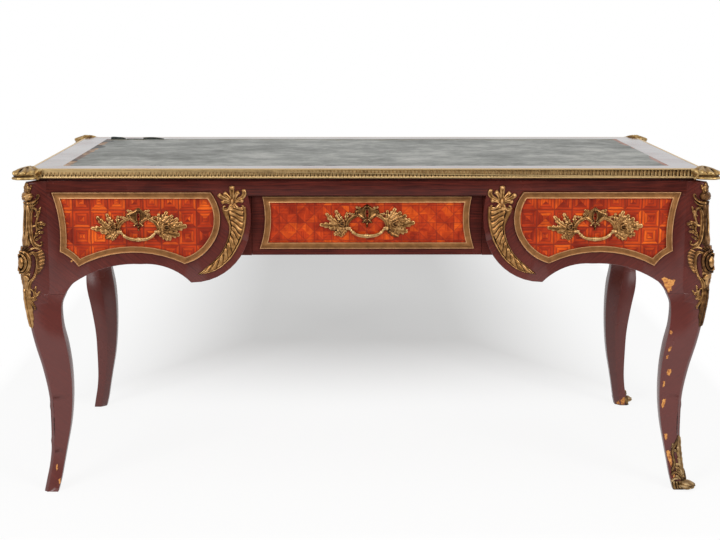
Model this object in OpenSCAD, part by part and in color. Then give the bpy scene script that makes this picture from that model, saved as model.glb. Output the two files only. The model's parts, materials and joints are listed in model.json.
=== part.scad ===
// Bureau plat: a writing table with three drawers, cabriole legs and bronze mounts.
// Origin: centre of the footprint, on the floor. X runs along the front, the sitter is at -Y, Z is up.

/* [Top] */
// Height of the writing surface above the floor
table_h = 780; // [776:1:790]
// Half length of the top over its straight bronze edge
edge_x = 784; // [782:1:790]
// Half depth of the top over its straight bronze edge
edge_y = 410; // [408:1:416]
// Thickness of the top with the packing strip under it
top_t = 30; // [28:1:32]
// Height of the bronze edge band
rim_h = 23; // [20:1:24]
// Thickness of the bronze edge band
rim_t = 8; // [7:0.5:9]
// Width of the polished border at the ends of the leather
border_w = 62; // [55:1:70]
// Width of the polished border along the leather's long sides
long_border_w = 56; // [50:1:62]
// Thickness of the leather
leather_t = 1.5; // [1:0.1:2]
// How far the corner clasps stand out past the straight edges
ear = 36; // [32:1:38]
// Length of a corner clasp's arms along the straight edges
flare = 40; // [34:1:48]
// Height of the corner clasps above the writing surface
clasp_rise = 7; // [4:1:9]
// How far a clasp's lip runs in over the writing surface, across the corner
clasp_lip = 14; // [8:1:20]

/* [Carcase] */
// How far the straight bronze edge stands out past the carcase
overhang = 10; // [8:1:12]
// Height of the rail over the drawers
rail_h = 34; // [33:1:36]
// Depth of that rail from front to back
rail_d = 70; // [68:1:76]
// Thickness of the pedestal fronts and of the back
front_t = 22; // [20:1:24]
// Thickness of the side panels
side_t = 20; // [18:1:22]
// Width of a leg's square post inside the carcase
post_w = 29; // [28:1:31]
// Half width of the bay between the dividers, as a share of the carcase's half length
bay_share = 0.35; // [0.34:0.001:0.36]
// Height of that bay under the carcase top
bay_h = 178; // [176:1:180]
// Thickness of a divider
divider_t = 26; // [22:1:28]
// Width of the kicker rails over the drawers
kicker_w = 22; // [20:1:24]
// Gap between a drawer's sides and the kickers
kicker_gap = 2; // [1:0.5:3]
// Shank radius of the screws that hold the top
screw_r = 2.5; // [2:0.5:3]
// Head radius of those screws
screw_head_r = 5; // [4:0.5:6]
// Length of those screws
screw_l = 56; // [52:1:58]

/* [Drawers] */
// Thickness of a drawer front
drawer_front_t = 20; // [18:1:21]
// Thickness of a drawer's sides and back
drawer_side_t = 12; // [10:1:14]
// Thickness of a drawer's bottom
drawer_bottom_t = 6; // [5:1:7]
// Length of a drawer's sides
drawer_l = 600; // [560:10:620]
// Gap round a drawer front
drawer_gap = 0.8; // [0.5:0.1:1.5]
// Inset of a side drawer's case from its front's inner side
case_inset = 4; // [3:1:6]
// Inset of a side drawer's case from its front's lower outer corner
case_outer_inset = 5; // [4:1:7]
// Depth of the side drawers' case under the carcase top
case_low = 151; // [148:1:152]
// Inset of the centre drawer's case from its bay
centre_case_inset = 5; // [3:1:7]
// Depth of the centre drawer's case under the carcase top
centre_case_low = 164; // [160:1:166]
// Distance from the carcase top down to the top of a drawer's sides
case_high = 44; // [43:1:48]
// Width of a drawer's bronze frame
frame_w = 14; // [12:1:15]
// How far that frame stands out of the drawer front
frame_t = 6; // [4:1:7]
// Thickness of the parquetry
veneer_t = 1.5; // [1:0.1:2]
// How far the parquetry runs in under the frame
veneer_lap = 4; // [2:1:6]
// Width of a lock's case
lock_w = 60; // [50:1:64]
// Height of a lock's case
lock_h = 62; // [58:1:66]
// Thickness of a lock's case
lock_t = 12; // [11:1:14]
// Width of a lock's bolt
bolt_w = 22; // [18:1:24]
// Thickness of a lock's bolt
bolt_t = 5; // [4:0.5:6]
// Height of a lock's bolt
bolt_h = 24; // [22:1:28]
// Travel of a lock's bolt
bolt_throw = 8; // [6:1:9]
// Clearance round a lock's bolt
bolt_fit = 0.4; // [0.3:0.1:0.5]
// Radius of a keyhole
key_r = 2; // [1.5:0.1:2]

/* [Handles] */
// Place of a side drawer's handle, as a share of the carcase's half length
handle_share = 0.68863; // [0.684:0.00001:0.694]
// Depth of a side drawer's keyhole under the carcase top
handle_drop = 83.5; // [82:0.5:85]
// Depth of the centre drawer's keyhole under the carcase top
centre_handle_drop = 79; // [78:0.5:81]
// Thickness of a handle's openwork plate
plate_t = 4; // [3:0.5:4.5]
// Distance from a keyhole down to the bail's pivot
pivot_drop = 34; // [32:1:36]
// Distance from the drawer front out to the bail's pivot
pivot_out = 9; // [8.5:0.5:10]
// Half span of a bail
bail_x = 41; // [38:1:42]
// Drop of a bail below its pivot
bail_drop = 19; // [17:1:22]
// Radius of a bail's bar
bail_r = 3; // [2.5:0.1:3.2]
// Radius of a bail's bar in the middle
bail_knob_r = 4.4; // [3.5:0.1:4.6]
// Radius of a bail's pivot pins
pin_r = 2; // [1.8:0.1:2.2]
// Running clearance of a pivot pin, all round
pin_fit = 0.08; // [0.03:0.01:0.1]
// Width of a handle's lug
lug_w = 5; // [4:0.5:6]

/* [Legs] */
// Width of the cant on a leg's outer corner
cant = 9; // [7:1:11]
// Share of a leg's width that its inner corner's chamfer takes
chamfer_share = 0.43; // [0.3:0.01:0.45]
// Depth of the knee's shoulder under the carcase top
shoulder_drop = 267; // [265:1:269]
// Clearance between a leg and its sabot
mount_fit = 0.2; // [0.1:0.05:0.25]
// Clearance between a leg and its chute, which bends with the knee
chute_fit = 0.4; // [0.3:0.05:0.6]
// Thickness of a sabot's wall
sabot_t = 3; // [2:0.5:4]
// Height of a sabot's collar
sabot_h = 96; // [90:1:110]
// How far a sabot's toe stands out
toe_out = 15; // [10:1:18]
// How far a horn mount stands out
horn_t = 11; // [8:1:14]

/* [Hidden] */
$fn = 48;
wood = "#4a2320";
inner_wood = "#a9855a";
parquetry = "#b8451d";
bronze = "#8f6f3e";
brass = "#b08a45";
leather = "#3f4a42";

body_x = edge_x - overhang;
body_y = edge_y - overhang;
board_y = body_y - front_t;
post_x = body_x - post_w;
post_y = body_y - post_w;
carcase_z = table_h - top_t;
rail_z = carcase_z - rail_h;
bay_z = carcase_z - bay_h;
shoulder_z = carcase_z - shoulder_drop;
leather_x = edge_x - rim_t - border_w;
leather_y = edge_y - rim_t - long_border_w;
glue_line = 0.1;
arc_steps = 10;
eps = 0.02;

// The drawings below are made for this half length, half depth and depth of the carcase
// and this width of a post, and follow the real ones.
drawn = [774, 400, 267, 29];
wide = body_x / drawn[0];
long = body_y / drawn[1];
tall = shoulder_drop / drawn[2];
stout = post_w / drawn[3];

// Corners from a drawing: along the carcase, the drop under its top, and the sag to the next.
function placed(c, along) =
    [for (p = c) [p.x * along, carcase_z - p.y * tall, p.z * along]];

drawer_corners = placed([
    [364, 26, -21], [364, 150, -7], [427, 193.5, 30], [675, 199.5, 4], [717, 164.5, 8], [732, 26, 0]
], wide);
centre_corners = placed([
    [-252, 161.5, 0], [252, 161.5, 9], [245, 38.5, 0], [-245, 38.5, 9]
], wide);

// Lower edge of a pedestal, from the bay's top corner out to the leg.
pedestal_edge = placed([
    [278, 34, -5], [275, 119.5, -35], [413, 239.5, 14], [530, 195.5, 13.6], [688, 239.5, 1.5],
    [709, 267, 0]
], wide);

// Lower edge of a side panel, from its middle out to the leg, and half of its frame.
side_edge = placed([[0, 232, 16], [150, 196, 16], [314, 239.5, 1.5], [335, 267, 0]], long);
side_frame = placed([
    [0, 196, 12], [150, 166, 10], [292, 199.5, 4], [326, 164.5, 8], [340, 26, 0]
], long);

// A horn mount, and the root and tips of the palmette over it.
horn_corners = placed([
    [285, 60, -6], [304, 151.5, -15], [397, 216, 0], [390, 210.5, 6], [335, 151.5, 2],
    [324, 110, -2], [338, 62, 3]
], wide);
palmette = placed([
    [314, 68, 0], [315, 11, 0], [348, 27, 0], [284, 22, 0], [350, 44, 0], [280, 44, 0]
], wide);
palmette_leaf_w = 6;

// Stations by drawn height: a leg's sweep out of the carcase corner, and its width.
function stouter(c) = [for (p = c) [p.x, p.y * stout, p.z * stout]];
leg_stations = stouter([
    [0, 1.5, 34], [30, -4.5, 35.5], [60, -10.5, 35], [100, -15, 38], [165, -16.5, 48.5],
    [230, -14.5, 56.5], [300, -4, 67], [360, 9, 74.5], [405, 17, 74.5], [441, 21, 76],
    [462, 23.5, 80], [483, 25, 90]
]);
post_stations = stouter([[483, 25, 54], [560, 26, 55], [650, 20, 49], [750, 16, 45]]);
leg_top = post_stations[0].x;
post_top = post_stations[3].x;
face_turn = [330, 480];
face_break = 4 - post_w;
face_hollow = 0.15;
shoulder_step = 0.1;
leg_heights = [each [0:12:396], each [400:4:480], leg_top - shoulder_step];
post_heights = [
    leg_top, 500, 520, 540, 560, 585, 600, 615, 632, 650, 675, 700, 716, 732, 746, post_top
];

// Chutes by drawn height: how far they run in from the corner, and their thickness.
chute_stations = stouter([
    [404, 8, 2], [446, 18, 10], [506, 34, 14], [563, 44, 15], [602, 36, 6],
    [640, 22, 5], [690, 30, 4], [716, 36, 9], [746, 14, 2]
]);

// Drawers: the case's sides, top, groove and the height of its underside.
bay_x = bay_share * body_x;
divider_x = bay_x + divider_t;
centre_case_x = bay_x - centre_case_inset;
case_in_x = drawer_corners[0].x + case_inset;
case_out_x = drawer_corners[4].x - case_outer_inset;
case_z1 = carcase_z - case_high;
groove_d = 5;
groove_z = 8;

// Kicker rails on the right-hand side, and the screws through them.
kicker_x = [bay_x - kicker_w, case_in_x, case_out_x - kicker_w];
kicker_low = case_z1 + kicker_gap;
screw_share = 0.6;
screw_y = [-screw_share * body_y, screw_share * body_y];

// Handles: the bail's knuckles, the lugs, the plate's shield and its leaves as root, tip, half width.
handle_x = handle_share * body_x;
lug_gap = 0.4;
lug_wall = 2.5;
knuckle_r = bail_r + 0.8;
knuckle_w = 6;
lug_x = bail_x + knuckle_w / 2 + lug_gap;
lug_r = pin_r + lug_wall;
lug_outer_x = lug_x + lug_w;
shield = [
    [-15, 8, -3], [-8, 21, -2], [8, 21, -3], [15, 8, -4], [7, -20, 0], [0, -33, 0], [-7, -20, -4]
];
spray_root = [44, -28];
handle_leaves = [
    [[6, -14], [lug_outer_x + 3, -pivot_drop - 1], 5],
    [[8, 2], [22, 9], 3],
    [spray_root, [113, -25], 5], [spray_root, [95, 0], 5], [spray_root, [74, 3], 5],
    [spray_root, [50, 0], 5], [spray_root, [68, -53], 5], [spray_root, [88, -40], 5]
];

// Clasps: the length of the rounded nose, and the bulge of the arms and of the nose.
clasp_nose = 26;
clasp_bulge = [-5, -6];

// Points of an arc from a towards b that bulges by sag to the left of the way there.
function bow(a, b, sag) =
    let (
        half = norm(b - a) / 2,
        left = [a.y - b.y, b.x - a.x] / (2 * half),
        size = max(abs(sag), 0.001),
        r = (half * half + size * size) / (2 * size),
        steps = abs(sag) > 0 ? arc_steps : 1
    )
    [for (i = [0:steps - 1])
        let (t = i / steps, x = (2 * t - 1) * half)
        a + (b - a) * t + left * sign(sag) * (sqrt(r * r - x * x) - (r - size))];

function flat(p) = [p.x, p.y];

// An open edge through corners that carry their sag.
function edge_points(c) =
    [for (k = [0:len(c) - 2]) each bow(flat(c[k]), flat(c[k + 1]), c[k].z), flat(c[len(c) - 1])];

// A closed outline through the same kind of corners.
function closed_points(c) =
    [for (k = [0:len(c) - 1]) each bow(flat(c[k]), flat(c[(k + 1) % len(c)]), c[k].z)];

function mirrored(points) = [for (k = [len(points) - 1:-1:0]) [-points[k].x, points[k].y]];

// Smooth value of column j at height z through a list of stations.
function rise(s, k, j) =
    let (a = max(k - 1, 0), b = min(k + 1, len(s) - 1))
    (s[b][j] - s[a][j]) / (s[b].x - s[a].x);
function segment(s, z, k = 0) = k >= len(s) - 2 || z <= s[k + 1].x ? k : segment(s, z, k + 1);
function smooth(s, z, j) =
    let (
        k = segment(s, z),
        h = s[k + 1].x - s[k].x,
        t = min(max((z - s[k].x) / h, 0), 1)
    )
    (2 * pow(t, 3) - 3 * t * t + 1) * s[k][j] + (pow(t, 3) - 2 * t * t + t) * h * rise(s, k, j)
    + (3 * t * t - 2 * pow(t, 3)) * s[k + 1][j] + (pow(t, 3) - t * t) * h * rise(s, k + 1, j);

function ease(t) = let (c = min(max(t, 0), 1)) c * c * (3 - 2 * c);

// Real height of a drawn one: the leg fills the space under its shoulder, the post that above it.
function real_z(z) =
    z <= leg_top
        ? z * shoulder_z / leg_top
        : shoulder_z + (z - leg_top) * shoulder_drop / (post_top - leg_top);

// Where a leg's faces meet the carcase plane at height z: 0 in the carcase, its own sweep below.
function face_in(z) =
    smooth(leg_stations, z, 1) * (1 - ease((z - face_turn[0]) / (face_turn[1] - face_turn[0])));

// A leg's section, from the carcase corner, counter-clockwise from above. Outside the break its
// faces turn out to the corner.
function leg_ring(z, grow = 0, toe = 0) =
    let (
        out = smooth(leg_stations, z, 1) + grow,
        w = smooth(leg_stations, z, 2) + 2 * grow,
        in = out - w,
        face = face_in(z) + grow,
        low = face - face_hollow,
        ch = chamfer_share * w,
        c = cant / (1 + toe)
    )
    [for (p = [[in, face], [in, in + ch], [in + ch, in], [face, in], [low, face_break],
               [out + toe, out + toe - c], [out + toe - c, out + toe], [face_break, low]])
        [p.x, p.y, real_z(z)]];

// The post's section above the shoulder.
function post_ring(z) =
    let (out = smooth(post_stations, z, 1), in = -post_w, low = -face_hollow)
    [for (p = [[in, 0], [in, in + 2], [in + 2, in], [0, in], [low, face_break],
               [out, out - cant], [out - cant, out], [face_break, low]])
        [p.x, p.y, real_z(z)]];

function sweep_out(z) =
    z < leg_top ? smooth(leg_stations, z, 1) : smooth(post_stations, z, 1);
function flat_face(z) = z < leg_top ? face_in(z) : 0;

// A chute's section: a bent strip outside a leg's corner.
function chute_ring(z) =
    let (
        out = sweep_out(z),
        face = flat_face(z),
        run = smooth(chute_stations, z, 1),
        t = smooth(chute_stations, z, 2),
        u = out - cant - run,
        v = face + (out - face) * max(0, u - face_break) / (out - cant - face_break),
        gap = chute_fit,
        edge_t = 3,
        skin = gap + t,
        thin = gap + min(t, edge_t)
    )
    [for (p = [
        [u, v + gap], [out - cant, out + gap], [out + gap, out - cant], [v + gap, u],
        [v + thin, u], [out + skin, out - cant], [out - cant, out + skin], [u, v + thin]
    ]) [p.x, p.y, real_z(z)]];

function reversed(list) = [for (k = [len(list) - 1:-1:0]) list[k]];

// A solid through rings of points that run counter-clockwise from above, lowest ring first.
// With wrap, the last ring joins the first, which makes a sleeve.
module loft(rings, wrap = false) {
    n = len(rings[0]);
    m = len(rings);
    sides = [
        for (r = [0:(wrap ? m : m - 1) - 1], i = [0:n - 1])
            let (a = r * n + i, b = r * n + (i + 1) % n, up = (r + 1) % m,
                 c = up * n + i, d = up * n + (i + 1) % n)
            each [[a, c, d], [a, d, b]]
    ];
    caps = wrap ? [] : [[for (i = [0:n - 1]) i], [for (i = [n - 1:-1:0]) (m - 1) * n + i]];
    polyhedron(points = [for (r = rings) each r], faces = concat(sides, caps), convexity = 8);
}

// Places a part made for the right-hand back corner at corner sx, sy.
module at_corner(sx, sy) {
    mirror([sx < 0 ? 1 : 0, 0, 0])
        mirror([0, sy < 0 ? 1 : 0, 0])
            translate([body_x, body_y, 0])
                children();
}

// Mirrors a part made for the right-hand side to side s.
module on_side(s) {
    mirror([s < 0 ? 1 : 0, 0, 0]) children();
}

// A slab from an outline in x and z, between two depths.
module slab(y0, y1) {
    translate([0, y1, 0])
        rotate([90, 0, 0])
            linear_extrude(height = y1 - y0)
                children();
}

// A slab from an outline in y and z, between two distances along x.
module side_slab(x0, x1) {
    translate([x0, 0, 0])
        rotate([90, 0, 90])
            linear_extrude(height = x1 - x0)
                children();
}

// A box between two corners.
module span(a, b) {
    translate(a) cube(b - a);
}

module leg(sx, sy) {
    rings = [for (z = leg_heights) leg_ring(z), for (z = post_heights) post_ring(z)];
    color(wood) at_corner(sx, sy) loft(rings);
}

module sabot(sx, sy) {
    zs = [0, 5, 10, 15, 20, 26, 34, 46, 60, 78, sabot_h];
    toe_z = 10;
    toe_h = 26;
    outer = [for (z = zs)
        leg_ring(z, mount_fit + sabot_t, toe_out * ease(1 - abs(z - toe_z) / toe_h))];
    inner = [for (z = zs) leg_ring(z, mount_fit)];
    color(bronze) at_corner(sx, sy) loft(concat(outer, reversed(inner)), wrap = true);
}

module chute(sx, sy) {
    low = chute_stations[0].x;
    color(bronze) at_corner(sx, sy) loft([
        chute_ring(low),
        for (z = concat(leg_heights, post_heights)) if (z > low && z < post_top) chute_ring(z)
    ]);
}

module drawer_shape(s = 1) {
    points = closed_points(drawer_corners);
    polygon(s > 0 ? points : mirrored(points));
}

module drawer_hole(s) {
    offset(delta = drawer_gap) drawer_shape(s);
}

module centre_shape() {
    polygon(closed_points(centre_corners));
}

// The front rail, rebated for the side drawers' fronts and mortised for the bolts.
module front_rail() {
    color(wood) difference() {
        span([-post_x, -body_y, rail_z], [post_x, -body_y + rail_d, carcase_z]);
        for (s = [-1, 1])
            slab(-body_y - 1, -body_y + drawer_front_t + drawer_gap) drawer_hole(s);
        for (s = [-1, 0, 1])
            bolt_space(s, rail_z - 1, rail_z + bolt_throw + 2);
    }
}

// Front face of drawer s: -1 left, 0 centre, 1 right.
function face_y(s) = s == 0 ? -board_y : -body_y;
function lock_y(s) = face_y(s) + drawer_front_t;
function lock_top() = rail_z - 2;

module bolt_space(s, z0, z1) {
    half_w = bolt_w / 2 + bolt_fit;
    mid_y = lock_y(s) + lock_t / 2;
    half_t = bolt_t / 2 + bolt_fit;
    span([s * handle_x - half_w, mid_y - half_t, z0], [s * handle_x + half_w, mid_y + half_t, z1]);
}

module pedestal_front(s) {
    outline = concat(edge_points(pedestal_edge), [[post_x, shoulder_z], [post_x, rail_z]]);
    color(wood) on_side(s) slab(-body_y, -board_y) difference() {
        polygon(outline);
        drawer_hole(1);
    }
}

module divider(s) {
    color(wood) on_side(s) span([bay_x, -board_y, bay_z], [divider_x, board_y, rail_z]);
}

module side_panel(s) {
    edge = edge_points(side_edge);
    outline = concat(
        mirrored(edge), edge,
        [[post_y, shoulder_z], [post_y, carcase_z], [-post_y, carcase_z], [-post_y, shoulder_z]]
    );
    color(wood) on_side(s) side_slab(body_x - side_t, body_x) polygon(outline);
}

module back_panel() {
    edge = concat(
        [[divider_x, bay_z]],
        [for (p = edge_points(pedestal_edge)) if (p.y < bay_z - 1) p],
        [[post_x, shoulder_z], [post_x, carcase_z]]
    );
    color(wood) slab(board_y, body_y) polygon(concat(edge, mirrored(edge)));
}

module side_frame_shape() {
    edge = edge_points(side_frame);
    polygon(concat(mirrored(edge), edge));
}

module frame_ring() {
    difference() {
        children();
        offset(delta = -frame_w) children();
    }
}

// The parquetry on the sides and the back, as skins on the panels.
module panel_parquetry() {
    color(parquetry) {
        for (s = [-1, 1]) {
            on_side(s) side_slab(body_x, body_x + veneer_t) offset(delta = -frame_w) side_frame_shape();
            slab(body_y, body_y + veneer_t) offset(delta = -frame_w) drawer_shape(s);
        }
        slab(body_y, body_y + veneer_t) offset(delta = -frame_w) centre_shape();
    }
}

module panel_frames() {
    color(bronze) {
        for (s = [-1, 1]) {
            on_side(s) side_slab(body_x, body_x + frame_t) frame_ring() side_frame_shape();
            slab(body_y, body_y + frame_t) frame_ring() drawer_shape(s);
        }
        slab(body_y, body_y + frame_t) frame_ring() centre_shape();
    }
}

// Runners, each with the guide beside its drawer and the stop behind it.
module drawer_runners() {
    runner_t = 15;
    side_play = 1;
    guide_w = 15;
    bearing_w = 22;
    side_z = carcase_z - case_low;
    centre_z = carcase_z - centre_case_low;
    side_end = -body_y + drawer_front_t + drawer_l;
    centre_end = -board_y + drawer_front_t + drawer_l;
    stop_l = 20;
    color(inner_wood) for (s = [-1, 1]) on_side(s) {
        union() {
            span([divider_x, -board_y, side_z - runner_t], [case_in_x + bearing_w, board_y, side_z]);
            span([case_in_x - side_play - guide_w, -board_y, side_z],
                 [case_in_x - side_play, board_y, side_z + runner_t]);
            span([case_in_x, side_end + glue_line, side_z],
                 [case_in_x + bearing_w, side_end + stop_l, side_z + runner_t]);
        }
        union() {
            span([case_out_x - bearing_w, -post_y, side_z - runner_t],
                 [body_x - side_t, post_y, side_z]);
            span([case_out_x + side_play, -post_y, side_z],
                 [case_out_x + side_play + guide_w, post_y, side_z + runner_t]);
            span([case_out_x - bearing_w, side_end + glue_line, side_z],
                 [case_out_x, side_end + stop_l, side_z + runner_t]);
        }
        union() {
            span([centre_case_x - bearing_w, -board_y + drawer_front_t + 1, bay_z],
                 [bay_x, board_y, centre_z]);
            span([centre_case_x - bearing_w, centre_end + glue_line, centre_z],
                 [bay_x, centre_end + stop_l, centre_z + runner_t]);
        }
    }
}

module kicker_rails() {
    color(inner_wood) for (s = [-1, 1], x = kicker_x) on_side(s) difference() {
        span([x, -body_y + rail_d, kicker_low], [x + kicker_w, board_y, carcase_z]);
        for (y = screw_y)
            translate([x + kicker_w / 2, y, 0]) screw_bore();
    }
}

// The space that a screw takes, with its fit.
module screw_bore() {
    fit = 0.1;
    head_h = screw_head_r - screw_r;
    translate([0, 0, kicker_low - 1]) {
        cylinder(r = screw_r + fit, h = screw_l + 1 + fit);
        cylinder(r = screw_head_r + fit, h = head_h + 1 + fit);
    }
}

module top_screws() {
    color("#8a8a86") for (s = [-1, 1], x = kicker_x, y = screw_y)
        on_side(s) translate([x + kicker_w / 2, y, kicker_low]) {
            cylinder(r = screw_r, h = screw_l);
            cylinder(r = screw_head_r, h = screw_head_r - screw_r);
        }
}

// Outline of a corner clasp, right-hand back, round the outside and in across the corner.
function clasp_points() =
    let (
        tip = [edge_x + ear, edge_y + ear],
        ends = [[edge_x, edge_y - flare], [tip.x, tip.y - clasp_nose], [tip.x - clasp_nose, tip.y],
                [edge_x - flare, edge_y]]
    )
    concat(
        bow(ends[0], ends[1], clasp_bulge.x), bow(ends[1], ends[2], clasp_bulge.y),
        bow(ends[2], ends[3], clasp_bulge.x),
        [ends[3], ends[3] - [clasp_lip, clasp_lip], ends[0] - [clasp_lip, clasp_lip]]
    );

module top_slab(inset, z0, z1) {
    x = edge_x - inset;
    y = edge_y - inset;
    span([-x, -y, z0], [x, y, z1]);
}

// The top on its packing strip, sunk for the leather.
module top_board() {
    shade = 8;
    color(wood) difference() {
        union() {
            top_slab(rim_t + shade, carcase_z, table_h - rim_h);
            top_slab(rim_t, table_h - rim_h, table_h);
        }
        span([-leather_x, -leather_y, table_h - leather_t], [leather_x, leather_y, table_h + 1]);
        for (s = [-1, 1], x = kicker_x, y = screw_y)
            translate([s * (x + kicker_w / 2), y, 0]) screw_bore();
    }
}

module leather_top() {
    color(leather)
        span([-leather_x, -leather_y, table_h - leather_t], [leather_x, leather_y, table_h]);
}

// Profile of the edge band: out along x, up along y.
module rim_profile() {
    bead = 2;
    polygon([
        [0, 0], [rim_t - 2, 0], [rim_t, bead], [rim_t - bead, 2 * bead], [rim_t - 2, 3 * bead],
        [rim_t - 2, rim_h - 3 * bead], [rim_t, rim_h - 2 * bead], [rim_t, rim_h - 1],
        [rim_t - 1, rim_h], [0, rim_h]
    ]);
}

module rim_band() {
    long = edge_x - flare;
    short = edge_y - flare;
    color(bronze) {
        for (a = [0, 180])
            rotate([0, 0, a]) translate([-long, -edge_y + rim_t, table_h - rim_h])
                rotate([90, 0, 90]) linear_extrude(height = 2 * long) mirror([1, 0]) rim_profile();
        for (a = [90, 270])
            rotate([0, 0, a]) translate([-short, -edge_x + rim_t, table_h - rim_h])
                rotate([90, 0, 90]) linear_extrude(height = 2 * short) mirror([1, 0]) rim_profile();
    }
}

// A corner clasp: a casting that wraps the top's corner and laps over it.
module clasp(sx, sy) {
    color(bronze) mirror([sx < 0 ? 1 : 0, 0, 0]) mirror([0, sy < 0 ? 1 : 0, 0]) difference() {
        translate([0, 0, table_h - rim_h])
            linear_extrude(height = rim_h + clasp_rise) polygon(clasp_points());
        top_slab(rim_t, 0, table_h);
        span([0, 0, 0], [edge_x - flare, edge_y, table_h]);
        span([0, 0, 0], [edge_x, edge_y - flare, table_h]);
    }
}

// A pointed leaf along x, with its length and half width.
module leaf(l, w) {
    polygon(concat(bow([0, 0], [l, 0], -w), bow([l, 0], [0, 0], -w)));
}

// A leaf from one point to another.
module leaf_between(a, b, w) {
    translate(a) rotate(atan2(b.y - a.y, b.x - a.x)) leaf(norm(b - a), w);
}

// A horn mount: a curved horn under a palmette.
module horn_shape() {
    polygon(closed_points(horn_corners));
    for (k = [1:len(palmette) - 1]) leaf_between(flat(palmette[0]), flat(palmette[k]), palmette_leaf_w);
}

module horn(s) {
    color(bronze) on_side(s) slab(-body_y - horn_t, -body_y) horn_shape();
}

module horns_back() {
    color(bronze) for (s = [-1, 1]) on_side(s) slab(body_y, body_y + horn_t) horn_shape();
}

// Drawer fronts, with the parquetry let in under the frame.
module drawer_front(s) {
    color(wood) difference() {
        if (s == 0)
            span([-bay_x + drawer_gap, -board_y, bay_z + drawer_gap],
                 [bay_x - drawer_gap, -board_y + drawer_front_t, rail_z - drawer_gap]);
        else
            slab(-body_y, -body_y + drawer_front_t) drawer_shape(s);
        panel_block(s);
        keyhole(s);
    }
}

module panel_block(s) {
    slab(face_y(s) - eps, face_y(s) + veneer_t)
        offset(delta = veneer_lap - frame_w)
            if (s == 0) centre_shape(); else drawer_shape(s);
}

module drawer_panel(s) {
    color(parquetry) difference() {
        slab(face_y(s), face_y(s) + veneer_t)
            offset(delta = veneer_lap - frame_w)
                if (s == 0) centre_shape(); else drawer_shape(s);
        keyhole(s);
    }
}

module drawer_frame(s) {
    color(bronze) slab(face_y(s) - frame_t, face_y(s))
        frame_ring()
            if (s == 0) centre_shape(); else drawer_shape(s);
}

// Sides and back of a drawer, grooved for its bottom.
function case_x0(s) = s == 0 ? -centre_case_x : case_in_x;
function case_x1(s) = s == 0 ? centre_case_x : case_out_x;
function case_z0(s) = carcase_z - (s == 0 ? centre_case_low : case_low);

module drawer_case(s) {
    y0 = lock_y(s);
    y1 = y0 + drawer_l;
    x0 = case_x0(s);
    x1 = case_x1(s);
    t = drawer_side_t;
    color(inner_wood) on_side(s) difference() {
        union() {
            span([x0, y0, case_z0(s)], [x0 + t, y1, case_z1]);
            span([x1 - t, y0, case_z0(s)], [x1, y1, case_z1]);
            span([x0 + t + glue_line, y1 - t, case_z0(s)], [x1 - t - glue_line, y1, case_z1]);
        }
        bottom_block(s);
    }
}

module bottom_block(s) {
    y0 = lock_y(s);
    inset = drawer_side_t - groove_d;
    z = case_z0(s) + groove_z;
    span([case_x0(s) + inset, y0 + glue_line, z],
         [case_x1(s) - inset, y0 + drawer_l - inset, z + drawer_bottom_t]);
}

module drawer_bottom(s) {
    color(inner_wood) on_side(s) bottom_block(s);
}

function key_z(s) = carcase_z - (s == 0 ? centre_handle_drop : handle_drop);

// The keyhole through the handle, the parquetry, the drawer front and the lock's wall.
module keyhole(s) {
    far_out = 20;
    translate([s * handle_x, face_y(s) - far_out, key_z(s)])
        rotate([-90, 0, 0])
            cylinder(r = key_r, h = far_out + drawer_front_t + lock_t / 2);
}

// Openwork plate of a handle, seen from the front, from the keyhole.
module handle_plate() {
    polygon(reversed(closed_points(shield)));
    for (s = [-1, 1], leaf = handle_leaves)
        leaf_between([s * leaf[0].x, leaf[0].y], [s * leaf[1].x, leaf[1].y], leaf[2]);
}

// A handle: the plate and the two lugs that carry the bail.
module handle(s) {
    color(bronze) difference() {
        union() {
            translate([s * handle_x, face_y(s), key_z(s)]) {
                rotate([90, 0, 0]) linear_extrude(height = plate_t) handle_plate();
                for (k = [-1, 1]) on_side(k) {
                    translate([lug_x, -pivot_out, -pivot_drop])
                        rotate([0, 90, 0]) cylinder(r = lug_r, h = lug_w);
                    span([lug_x, -pivot_out, -pivot_drop - pin_r], [lug_outer_x, 0, -pivot_drop + pin_r]);
                }
            }
        }
        keyhole(s);
        translate([s * handle_x - lug_outer_x - 1, face_y(s) - pivot_out, key_z(s) - pivot_drop])
            rotate([0, 90, 0])
                cylinder(r = pin_r + pin_fit, h = 2 * (lug_outer_x + 1));
    }
}

// A bail: a bar bent to an arc between two pivot pins, thicker in the middle.
module bail(s) {
    ring_r = (bail_x * bail_x + bail_drop * bail_drop) / (2 * bail_drop);
    half_a = asin(bail_x / ring_r);
    bar_sides = 12;
    knob_steps = 2;
    bar = [for (k = [-arc_steps:arc_steps])
        let (
            a = k * half_a / arc_steps,
            bar_r = bail_r + (bail_knob_r - bail_r) * max(0, 1 - abs(k) / knob_steps)
        )
        [for (i = [0:bar_sides - 1])
            let (b = i * 360 / bar_sides, r = ring_r + bar_r * cos(b))
            [r * sin(a), bar_r * sin(b), ring_r - bail_drop - r * cos(a)]]];
    color(bronze) translate([s * handle_x, face_y(s) - pivot_out, key_z(s) - pivot_drop]) {
        loft(bar);
        for (k = [-1, 1]) on_side(k) {
            translate([bail_x - knuckle_w / 2, 0, 0]) rotate([0, 90, 0])
                cylinder(r = knuckle_r, h = knuckle_w);
            translate([bail_x, 0, 0]) rotate([0, 90, 0])
                cylinder(r = pin_r, h = knuckle_w / 2 + lug_gap + lug_w);
        }
    }
}

module lock(s) {
    y0 = lock_y(s);
    x = s * handle_x;
    color(brass) difference() {
        span([x - lock_w / 2, y0, lock_top() - lock_h], [x + lock_w / 2, y0 + lock_t, lock_top()]);
        bolt_space(s, lock_top() - bolt_h - bolt_fit, lock_top() + 1);
        keyhole(s);
    }
}

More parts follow.
